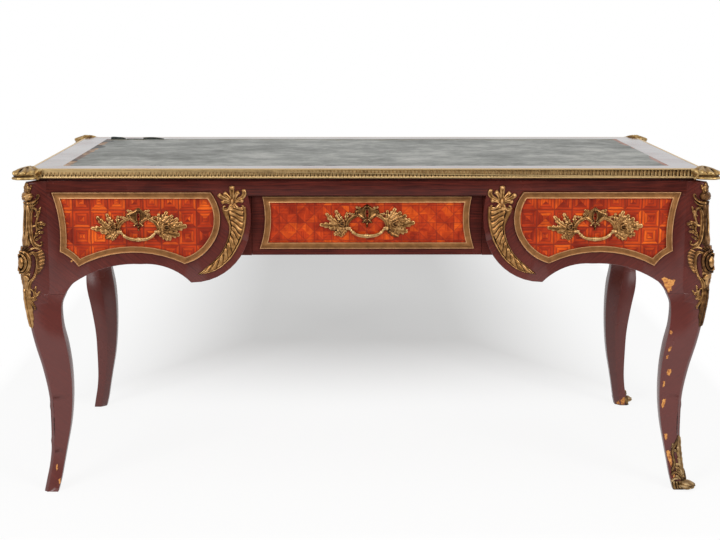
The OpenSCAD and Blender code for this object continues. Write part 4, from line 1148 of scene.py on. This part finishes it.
def make_rim():
    """The bronze edge band: a fillet, a row of upright leaves, and a bright bead below."""
    low, high = (Vector(c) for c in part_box("rim_band"))
    # Each side stops short of the corner, under the clasp
    short = 24 * MM
    pitch = sizes().leaf_pitch
    columns_per_leaf = 8
    bm = bmesh.new()
    # Height over the band's foot and how far it stands out, both in mm, and the leaves' foot and tip
    profile = [(0.0, 3.0), (1.2, 7.2), (2.9, 8.0), (4.6, 7.0), (5.2, 2.4), (6.2, 1.8), (7.6, 1.8),
               (9.4, 1.8), (11.2, 1.8), (13.0, 1.8), (14.8, 1.8), (16.6, 1.8), (18.4, 1.8), (19.2, 5.6),
               (20.2, 7.2), (21.8, 8.0), (23.0, 6.8)]
    depth, height, foot, tip = 8.0, 23.0, 5.2, 18.6
    for axis, sign in (("x", -1), ("x", 1), ("y", -1), ("y", 1)):
        half = (high.x if axis == "x" else high.y) - short
        edge = high.y if axis == "x" else high.x
        count = round(2 * half / pitch)
        rows = len(profile) + 1
        made = bmesh.ops.create_grid(bm, x_segments=count * columns_per_leaf, y_segments=rows,
                                     size=0.5)["verts"]
        for vert in made:
            along = vert.co.x * 2 * half
            row = round((vert.co.y + 0.5) * rows)
            phase = (vert.co.x + 0.5) * count % 1.0
            if row in (0, rows):
                up, out = (0.0 if row == 0 else height), 0.4
            else:
                up, out = profile[row - 1]
                if foot <= up <= tip:
                    # A leaf is a rounded tongue: broad and full below, with a sunk vein
                    share = (up - foot) / (tip - foot)
                    across = abs(2 * phase - 1)
                    reach = 0.84 * math.sin(math.pi * min(1.0, 0.42 + 0.46 * share)) ** 0.5
                    dome = max(0.0, 1 - (across / reach) ** 2) ** 0.5
                    out += 5.0 * dome * (1 - 0.35 * math.exp(-(across / 0.18) ** 2))
            away = sign * (edge - (depth - min(out, depth)) * MM)
            vert.co = Vector((along, away, low.z + up * MM) if axis == "x" else
                             (away, along, low.z + up * MM))
    close_rims(bm)
    bmesh.ops.recalc_face_normals(bm, faces=bm.faces)
    finish_piece(bm, "edge_band_leaves", "rim_band", "gilt bronze, edge", sharp=60,
                 replaces=["rim_band"])


def make_clasps():
    """Cast corner clasps: a lobe round the table's corner, ribbed like a shell, with scrolled edges."""
    low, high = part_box("rim_band")
    for name, (sx, sy) in CORNERS.items():
        node = f"clasp_{name}"
        bm = bmesh.new()
        draw_clasp(bm, low[2] / MM)
        for vert in bm.verts:
            p = vert.co
            vert.co = Vector((sx * (high[0] + p.x * MM), sy * (high[1] + p.y * MM), p.z * MM))
        keep_inside(bm)
        bmesh.ops.remove_doubles(bm, verts=bm.verts, dist=0.002 * MM)
        bmesh.ops.recalc_face_normals(bm, faces=bm.faces)
        finish_piece(bm, f"clasp_casting_{name}", node, "gilt bronze, clasp", sharp=50,
                     replaces=[node])


def clasp_edge(t):
    """The lobe's outline in plan from one arm's end to the other, t from 0 to 1, in mm."""
    path = [(0, -40), (14, -31), (28, -16), (34, 2), (33.5, 19), (27, 27), (19, 33.5), (2, 34),
            (-16, 28), (-31, 14), (-40, 0)]
    point, way = smooth_path(path, t)
    return point, Vector((way.y, -way.x))


def draw_clasp(bm, bottom):
    """One clasp, drawn for the right-hand back corner of the straight edges: a smooth lip below, and a
    ribbed shell over it that is high at its inner end and slopes down to its outer tip."""
    # Depth behind the lip and height over the foot, both in mm
    profile = [(-7.0, 0.0), (-2.4, 0.2), (-0.2, 1.8), (0.0, 3.8), (-1.0, 5.6), (-4.4, 7.2), (-5.0, 9.0),
               (-3.4, 12.0), (-1.8, 16.0), (-1.6, 19.5), (-2.6, 22.6), (-5.0, 25.0), (-9.0, 27.0),
               (-14.0, 28.4), (-20.0, 29.2), (-27.0, 29.6), (-33.0, 27.6), (-35.0, 24.4), (-34.0, 23.4)]

    # The lip's height in mm, the number of ribs, and the reciprocal of each rounded end's share
    lip, ribs, ends = 8, 8, 11
    middle = Vector((-14.0, -14.0))

    def side(u, v):
        place = v * (len(profile) - 1)
        k = min(int(place), len(profile) - 2)
        off, up = Vector(profile[k]).lerp(Vector(profile[k + 1]), place - k)
        # The lip ends sooner than the shell, so the ends lean outwards as they rise
        near = 0.5 + (u - 0.5) * (0.74 + 0.2 * min(1.0, up / 26))
        point, out = clasp_edge(near)
        rib = abs(math.sin(math.pi * ribs * u))
        end = math.sin(math.pi / 2 * min(1.0, ends * min(u, 1 - u)))
        # The lip lies lower towards the outer tip, and the top slopes down to it
        nose = 1 - abs(2 * u - 1) ** 1.6
        inward = max(0.0, -off - 5) / 30
        if up > lip:
            up = lip + (up - lip) * (1 - 0.5 * nose * (1 - min(1.0, inward * 1.15)))
        if place > 8.5:
            off += (rib - 0.6) * 2.6 * end * (1 - inward)
            up += (rib - 0.6) * 2.6 * end * (1 - 0.5 * inward)
        # The ends are rounded over, down to the fillet
        if up > lip:
            up = lip + (up - lip) * (0.25 + 0.75 * end)
        off = -7 + (off + 7) * (0.3 + 0.7 * end) if off > -7 else off * (0.75 + 0.25 * end)
        point = point + out * max(off, -5 - 30 * inward)
        point = point.lerp(middle + (point - middle) * 0.55, inward * 0.8)
        return Vector((point.x, point.y, bottom + up))

    formed_grid(bm, 120, 36, side)
    close_rims(bm)
    clasp_scrolls(bm, bottom)


def clasp_scrolls(bm, bottom):
    """The clasp's C-scrolls at both arm ends, which end its ribs."""
    for flip in (False, True):
        part = bmesh.new()
        scroll(part, [(-41, 20.5), (-33, 19.5), (-27, 14.5), (-26.5, 8), (-30, 2.5), (-35, 1.2)],
               (5, 5, 5.5, 6, 5), 6.5, groove=0.3)
        for vert in part.verts:
            x, z, out = vert.co
            # Moved to the clasp's very end; its face there stands further out with each mm along it
            x += 6
            face = 1.5 + max(0.0, x + 40) * 0.78 + max(0.0, out) * 0.7
            vert.co = Vector((face, x, bottom + z) if flip else (x, face, bottom + z))
        bmesh.ops.recalc_face_normals(part, faces=part.faces)
        gather(bm, part)


def moulded_ring(node, name, toward):
    """A moulded frame from a CAD ring: two fine fillets with a shallow hollow between them. toward is
    each way that the ring faces, with a point on its face."""
    bm = merged_copy(node)
    bmesh.ops.recalc_face_normals(bm, faces=bm.faces)
    bmesh.ops.dissolve_limit(bm, angle_limit=math.radians(1), verts=bm.verts, edges=bm.edges,
                             use_dissolve_boundaries=False)
    fronts = [f for f in bm.faces if any(f.normal.dot(way) > 0.95 and
              (f.calc_center_median() - at).dot(way) > -1e-5 for way, at in toward)]
    # The fillet's width, then the width and fall of its side and of the hollow, in mm
    for thickness, depth in ((1.3, 0.0), (0.5, -0.5), (1.5, -0.35)):
        bmesh.ops.inset_region(bm, faces=fronts, thickness=thickness * MM, depth=depth * MM,
                               use_boundary=True, use_even_offset=True)
    finish_piece(bm, name, node, "gilt bronze, moulded", sharp=30, replaces=[node])


def make_frames():
    """Moulded bronze frames round the parquetry of the drawers, the sides and the back."""
    for side in FRONTS:
        node = f"drawer_frame_{side}"
        moulded_ring(node, f"drawer_moulding_{side}", [(Vector((0, -1, 0)), Vector(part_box(node)[0]))])
    low, high = (Vector(c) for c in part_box("panel_frames"))
    moulded_ring("panel_frames", "panel_mouldings", [
        (Vector((-1, 0, 0)), low), (Vector((1, 0, 0)), high), (Vector((0, 1, 0)), high)])


def ease_edges(bm, edges, width):
    """Takes the sharpness off some edges, as scraping and wear do."""
    bmesh.ops.bevel(bm, geom=edges, offset=width, segments=2, profile=0.5, material=-1,
                    affect="EDGES")


def make_legs():
    """The four legs: their free arrises are rounded. Those inside the carcase stay sharp, so that the
    veneer runs on without a seam."""
    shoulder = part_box("pedestal_front_left")[0][2]
    for name in CORNERS:
        node = f"leg_{name}"
        bm = merged_copy(node)
        arrises = [e for e in bm.edges if len(e.link_faces) == 2
                   and e.calc_face_angle(0) > math.radians(30)
                   and abs((e.verts[0].co - e.verts[1].co).normalized().z) > 0.6
                   and max(v.co.z for v in e.verts) < shoulder]
        ease_edges(bm, arrises, 1.4 * MM)
        finish_piece(bm, f"cabriole_{name}", node, "kingwood veneer, slanting", sharp=30,
                     replaces=[node])


def make_carcase():
    """The carcase's veneered boards: only the shaped lower edges are rounded, so no joint shows."""
    for node in ("front_rail", "pedestal_front_left", "pedestal_front_right", "side_panel_left",
                 "side_panel_right", "back_panel"):
        grain = "lengthwise" if node == "front_rail" else "slanting"
        bm = merged_copy(node)
        lower = [e for e in bm.edges if len(e.link_faces) == 2
                 and e.calc_face_angle(0) > math.radians(50)
                 and min(f.normal.z for f in e.link_faces) < -0.25
                 and any(max(abs(f.normal.x), abs(f.normal.y)) > 0.95 for f in e.link_faces)]
        ease_edges(bm, lower, 1.1 * MM)
        finish_piece(bm, f"{node}_veneered", node, f"kingwood veneer, {grain}", sharp=30,
                     replaces=[node])


def make_joinery():
    """Gives the drawers, the top and the inner parts their wood, with edges rounded by wear."""
    for node in NODES:
        slot = slot_of_node(node)
        if slot == "veneered_wood" and (node.startswith(("drawer", "divider")) or node == "top_board"):
            grain = "top" if node == "top_board" else "lengthwise"
            round_edges(paint(node, f"kingwood veneer, {grain}"), sizes().board_round)
        elif slot == "oak":
            round_edges(paint(node, "oak, bare"), 0.6 * MM, 1)
        elif slot == "parquetry":
            figure = "lozenges" if node == "drawer_panel_centre" else "squares"
            paint(node, f"tulipwood parquetry, {figure}")
        elif slot == "brass":
            round_edges(paint(node, "brass, lock"), 0.5 * MM)
        elif slot == "steel":
            paint(node, "steel, turned")


def make_leather():
    """The leather: let in flush, a little uneven, with torn flaps that stand up behind."""
    low, high = (Vector(c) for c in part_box("leather_top"))
    # The glued edge lies flat, and the rest ripples, both in metres
    glued, ripple = 4 * MM, 0.12 * MM
    bm = bmesh.new()
    made = bmesh.ops.create_grid(bm, x_segments=120, y_segments=60, size=0.5)["verts"]
    for vert in made:
        x = low.x + (high.x - low.x) * (vert.co.x + 0.5)
        y = low.y + (high.y - low.y) * (vert.co.y + 0.5)
        edge = min(x - low.x, high.x - x, y - low.y, high.y - y)
        wave = math.sin(x * 31) * math.sin(y * 43) + 0.5 * math.sin(x * 87 + y * 61)
        vert.co = Vector((x, y, high.z + (ripple * wave if edge > glued else 0.0)))
    faces = bm.faces[:]
    bmesh.ops.recalc_face_normals(bm, faces=faces)
    if faces[0].normal.z < 0:
        bmesh.ops.reverse_faces(bm, faces=faces)
    bmesh.ops.solidify(bm, geom=faces, thickness=1.3 * MM)
    bmesh.ops.recalc_face_normals(bm, faces=bm.faces)
    finish_piece(bm, "leather_skiver", "leather_top", "leather, faded green", sharp=50,
                 replaces=["leather_top"])
    torn = bmesh.new()
    # Each flap's ends in metres from the leather's left edge, and how high it stands in mm
    for left, right, rise in ((0.012, 0.054, 6.9), (0.056, 0.104, 1.2), (0.102, 0.16, 5.6)):
        def flap(u, v, left=left, right=right, rise=rise):
            ragged = 0.95 + 0.05 * math.sin(9 * u + 40 * left)
            lift = math.sin(math.pi * min(1.0, 0.3 + 0.7 * u)) ** 0.5 * ragged * rise * MM
            x = low.x + left + (right - left) * u
            return Vector((x, high.y - (9 * (1 - v) ** 1.5 + 2.5 * v * v) * MM,
                           high.z + 0.1 * MM + lift * v ** 1.3))
        part = bmesh.new()
        formed_grid(part, 24, 8, flap, gap=0.000001)
        bmesh.ops.recalc_face_normals(part, faces=part.faces)
        bmesh.ops.solidify(part, geom=part.faces[:], thickness=0.9 * MM)
        bmesh.ops.recalc_face_normals(part, faces=part.faces)
        gather(torn, part)
    keep_inside(torn)
    finish_piece(torn, "leather_flaps", "leather_top", "leather, torn edge")


def make_chips():
    """Flakes of lost veneer on the legs and the pedestals, where the pale ground wood shows. Each is an
    outline in mm, x from the table's middle and z over the floor, as seen from the front."""
    flakes = [
        [(694, 520), (703, 522), (712, 517), (727, 515), (724, 504), (717, 497), (719, 490), (710, 484),
         (709, 492), (702, 503)],
        [(717, 395), (721, 395), (723, 390), (719, 385), (717, 388)],
        [(717, 354), (723, 356), (722, 349), (717, 342), (715, 346)],
        [(713, 334), (717, 333), (716, 325), (711, 325)],
        [(718, 296), (725, 299), (728, 290), (722, 280), (716, 286)],
        [(710, 268), (714.5, 266), (713.5, 256), (709, 251)],
        [(710.5, 221), (719, 223), (718, 212), (712, 198), (709.5, 205)],
        [(718.5, 135), (724, 136), (727, 128), (723, 118), (720.5, 124)],
        [(724, 92), (733, 93), (735, 84), (740, 74), (737, 63), (742, 52), (738, 50), (734, 62),
         (729, 74)],
        [(740, 50), (744, 44), (743, 34), (747, 25), (744, 24), (740, 36)],
        [(666, 560), (677, 556), (676, 552), (668, 555)],
        [(-694, 563), (-689, 566), (-691, 560)],
        [(-747, 62), (-743, 66), (-742, 55), (-745, 48)],
        [(-741, 30), (-737, 33), (-735, 22), (-739, 18)]]
    # On the back leg's foot, whose rays start behind the front leg
    far = [[(744, 3), (766, 3), (769, 19), (764, 27), (758, 20), (752, 17), (747, 9)]]
    ground = ground_of(["leg_front_left", "leg_front_right", "leg_back_right", "pedestal_front_left",
                        "pedestal_front_right", "drawer_front_right"])
    # The ragged edge's step, and how far its points stray, in mm; the flake's skin and its lowest point
    step, stray_x, stray_z = 2.2, 0.9, 1.4
    skin, lowest = 0.15 * MM, 1.5 * MM
    chance = random.Random(29)
    for k, outline in enumerate(flakes + far):
        # Where the rays that find its ground start, on Y
        start = 0.1 if outline in far else -0.9
        ragged = []
        for (x, z), (next_x, next_z) in zip(outline, outline[1:] + outline[:1]):
            pieces = max(1, round(math.dist((x, z), (next_x, next_z)) / step))
            for t in (j / pieces for j in range(pieces)):
                ragged.append((x + (next_x - x) * t + chance.uniform(-stray_x, stray_x),
                               z + (next_z - z) * t + chance.uniform(-stray_z, stray_z)))
        bm = bmesh.new()
        bmesh.ops.contextual_create(bm, geom=[bm.verts.new((x * MM, start, z * MM)) for x, z in ragged])
        bmesh.ops.triangulate(bm, faces=bm.faces[:])
        for vert in bm.verts:
            hit, normal = ground.ray_cast(vert.co, Vector((0, 1, 0)))[:2]
            if hit is None:
                hit, normal = ground.find_nearest(Vector((vert.co.x, start + 0.5, vert.co.z)))[:2]
            vert.co = hit + normal * skin
            vert.co.z = max(vert.co.z, lowest)
        bmesh.ops.recalc_face_normals(bm, faces=bm.faces)
        if sum(f.normal.y for f in bm.faces) > 0:
            bmesh.ops.reverse_faces(bm, faces=bm.faces[:])
        bmesh.ops.solidify(bm, geom=bm.faces[:], thickness=0.5 * MM)
        node = ("leg_back_right" if outline in far else
                "leg_front_left" if outline[0][0] < 0 else "leg_front_right")
        bmesh.ops.recalc_face_normals(bm, faces=bm.faces)
        finish_piece(bm, f"bare_patch_{k}", node, "ground wood, laid bare")


def make_stage():
    """Studio paper, soft lamps in front of the table, and the camera."""
    bm = bmesh.new()
    bmesh.ops.create_grid(bm, x_segments=1, y_segments=1, size=14)
    paper = add_object("studio_paper", mesh_from(bm, "studio_paper"))
    paper.data.materials.append(floor_material("studio paper"))
    bm = bmesh.new()
    bmesh.ops.create_grid(bm, x_segments=1, y_segments=1, size=1, matrix=Matrix((
        (9, 0, 0, 0), (0, 0, 1, -6.5), (0, 2, 0, 2.0), (0, 0, 0, 1))))
    room = add_object("studio_room", mesh_from(bm, "studio_room"))
    room.data.materials.append(room_material("studio room, unlit"))
    room.visible_camera = room.visible_diffuse = room.visible_shadow = False
    # Each lamp's place, side, power and what it is aimed at, in metres and watts
    for name, place, size, power, target in (
            ("lamp_left", (-2.6, -4.0, 2.35), 1.8, 110, (0, 0, 0.45)),
            ("lamp_right", (2.9, -3.8, 2.3), 1.8, 95, (0, 0, 0.45)),
            ("lamp_over", (0, -1.8, 4.4), 3.0, 30, (0, 0, 0.5))):
        lamp = bpy.data.lights.new(name, "AREA")
        lamp.energy = power
        lamp.shape = "SQUARE"
        lamp.size = size
        obj = add_object(name, lamp)
        obj.location = place
        obj.rotation_euler = (Vector(target) - Vector(place)).to_track_quat("-Z", "Y").to_euler()
    world = bpy.data.worlds.new("studio")
    bpy.context.scene.world = world
    world.use_nodes = True
    tree = world.node_tree
    light = tree.nodes["Background"]
    light.inputs["Color"].default_value = (1, 1, 1, 1)
    light.inputs["Strength"].default_value = 0.45
    white = add(tree, "Background", in_Color=(1, 1, 1, 1), in_Strength=1.0)
    seen = direct_rays(tree)[1]
    both = add(tree, "MixShader", in_0=seen, in_1=light, in_2=white)
    tree.links.new(both.outputs[0], tree.nodes["World Output"].inputs["Surface"])
    camera = bpy.data.cameras.new("camera")
    camera.lens = sizes().lens
    camera.sensor_width = 36
    viewer = add_object("camera", camera)
    # Where it stands in metres, and how it is turned in radians
    stand = (-0.0698, -3.888, 1.166)
    yaw, pitch, roll = 0.0152, 0.1775, 0.0013
    forward = Vector((math.sin(yaw) * math.cos(pitch), math.cos(yaw) * math.cos(pitch),
                      -math.sin(pitch)))
    turn = forward.to_track_quat("-Z", "Y").to_matrix().to_4x4()
    viewer.matrix_world = Matrix.Translation(stand) @ turn @ Matrix.Rotation(roll, 4, "Z")
    bpy.context.scene.camera = viewer
    bpy.context.scene.view_settings.view_transform = "Standard"


def make_finishes():
    """Every finish of the table."""
    # The lengthwise veneer carries painted shade: it is darker, as the front rail is under the top's overhang
    veneer_material("kingwood veneer, lengthwise", 0.0, 0.8)
    veneer_material("kingwood veneer, slanting", math.radians(40), 0.55)
    veneer_material("kingwood veneer, top", 0.0)
    parquetry_material("tulipwood parquetry, squares", False)
    parquetry_material("tulipwood parquetry, lozenges", True)
    bronze_material("gilt bronze, cast", -0.18, 0.26, tone="#fff0ea")
    bronze_material("gilt bronze, clasp", -0.04, 0.26, tone="#eef0ea")
    bronze_material("gilt bronze, chased", -0.1, 0.28, tone="#ffece0")
    bronze_material("gilt bronze, edge", 0.2, 0.36, 0.6, "#f2f2f4")
    bronze_material("gilt bronze, moulded", -0.06, 0.42, 0.3, "#ffe6e8")
    bronze_material("gilt bronze, handled", -0.04, 0.24, tone="#faf0ea")
    bronze_material("gilt bronze, dull", -0.1, 0.45, tone="#dfe0ea")
    bronze_material("brass, lock", 0.05, 0.35)
    leather_material("leather, faded green")
    torn_leather_material("leather, torn edge")
    oak_material("oak, bare")
    bare_wood_material("ground wood, laid bare")
    steel_material("steel, turned")


class BUREAU_OT_finishes(bpy.types.Operator):
    """Mixes every finish of the table"""

    bl_idname = "bureau.finishes"
    bl_label = "Mix the finishes"

    def execute(self, context):
        make_finishes()
        return {"FINISHED"}


class BUREAU_OT_stage(bpy.types.Operator):
    """Sets the paper, the lamps and the camera"""

    bl_idname = "bureau.stage"
    bl_label = "Set the studio"

    def execute(self, context):
        make_stage()
        return {"FINISHED"}


class BUREAU_OT_joinery(bpy.types.Operator):
    """Finishes the drawers, the top and the inner parts"""

    bl_idname = "bureau.joinery"
    bl_label = "Finish the joinery"

    def execute(self, context):
        make_joinery()
        return {"FINISHED"}


class BUREAU_OT_carcase(bpy.types.Operator):
    """Veneers the carcase's boards"""

    bl_idname = "bureau.carcase"
    bl_label = "Veneer the carcase"

    def execute(self, context):
        make_carcase()
        return {"FINISHED"}


class BUREAU_OT_legs(bpy.types.Operator):
    """Veneers the four cabriole legs"""

    bl_idname = "bureau.legs"
    bl_label = "Veneer the legs"

    def execute(self, context):
        make_legs()
        return {"FINISHED"}


class BUREAU_OT_leather(bpy.types.Operator):
    """Lays the leather in the top"""

    bl_idname = "bureau.leather"
    bl_label = "Lay the leather"

    def execute(self, context):
        make_leather()
        return {"FINISHED"}


class BUREAU_OT_rim(bpy.types.Operator):
    """Casts the bronze edge band"""

    bl_idname = "bureau.rim"
    bl_label = "Cast the edge band"

    def execute(self, context):
        make_rim()
        return {"FINISHED"}


class BUREAU_OT_clasps(bpy.types.Operator):
    """Casts the four corner clasps"""

    bl_idname = "bureau.clasps"
    bl_label = "Cast the corner clasps"

    def execute(self, context):
        make_clasps()
        return {"FINISHED"}


class BUREAU_OT_frames(bpy.types.Operator):
    """Moulds the bronze frames of the parquetry"""

    bl_idname = "bureau.frames"
    bl_label = "Mould the frames"

    def execute(self, context):
        make_frames()
        return {"FINISHED"}


class BUREAU_OT_chutes(bpy.types.Operator):
    """Casts the four corner chutes"""

    bl_idname = "bureau.chutes"
    bl_label = "Cast the corner chutes"

    def execute(self, context):
        make_chutes()
        return {"FINISHED"}


class BUREAU_OT_horns(bpy.types.Operator):
    """Casts the horn mounts and their palmettes"""

    bl_idname = "bureau.horns"
    bl_label = "Cast the horn mounts"

    def execute(self, context):
        make_horns()
        return {"FINISHED"}


class BUREAU_OT_handles(bpy.types.Operator):
    """Casts the handles and their bails"""

    bl_idname = "bureau.handles"
    bl_label = "Cast the handles"

    def execute(self, context):
        make_handles()
        return {"FINISHED"}


class BUREAU_OT_sabots(bpy.types.Operator):
    """Casts the two sabots"""

    bl_idname = "bureau.sabots"
    bl_label = "Cast the sabots"

    def execute(self, context):
        make_sabots()
        return {"FINISHED"}


class BUREAU_OT_chips(bpy.types.Operator):
    """Chips the veneer where the table is worn"""

    bl_idname = "bureau.chips"
    bl_label = "Chip the veneer"

    def execute(self, context):
        make_chips()
        return {"FINISHED"}


STEPS = [
    BUREAU_OT_finishes, BUREAU_OT_stage, BUREAU_OT_joinery, BUREAU_OT_carcase, BUREAU_OT_legs,
    BUREAU_OT_leather, BUREAU_OT_rim, BUREAU_OT_clasps, BUREAU_OT_frames, BUREAU_OT_chutes,
    BUREAU_OT_horns, BUREAU_OT_handles, BUREAU_OT_sabots, BUREAU_OT_chips,
]


class BUREAU_PT_bench(bpy.types.Panel):
    """The bench: every step, its sizes and its colours"""

    bl_label = "Bureau Plat"
    bl_space_type = "VIEW_3D"
    bl_region_type = "UI"
    bl_category = "Bureau"

    def draw(self, context):
        for group in (context.scene.bureau_sizes, context.scene.bureau_colours):
            for name in group.__annotations__:
                self.layout.prop(group, name)
        for made in STEPS:
            self.layout.operator(made.bl_idname)


CLASSES = [BureauSizes, BureauColours, *STEPS, BUREAU_PT_bench]


def register():
    """Registers the classes and their property groups."""
    for made in CLASSES:
        bpy.utils.register_class(made)
    bpy.types.Scene.bureau_sizes = bpy.props.PointerProperty(type=BureauSizes)
    bpy.types.Scene.bureau_colours = bpy.props.PointerProperty(type=BureauColours)


def unregister():
    """Takes back what register did."""
    del bpy.types.Scene.bureau_sizes
    del bpy.types.Scene.bureau_colours
    for made in reversed(CLASSES):
        bpy.utils.unregister_class(made)


def main():
    """Builds the whole scene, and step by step."""
    register()
    for made in STEPS:
        getattr(bpy.ops.bureau, made.bl_idname.split(".")[1])()


if __name__ == "__main__":
    main()
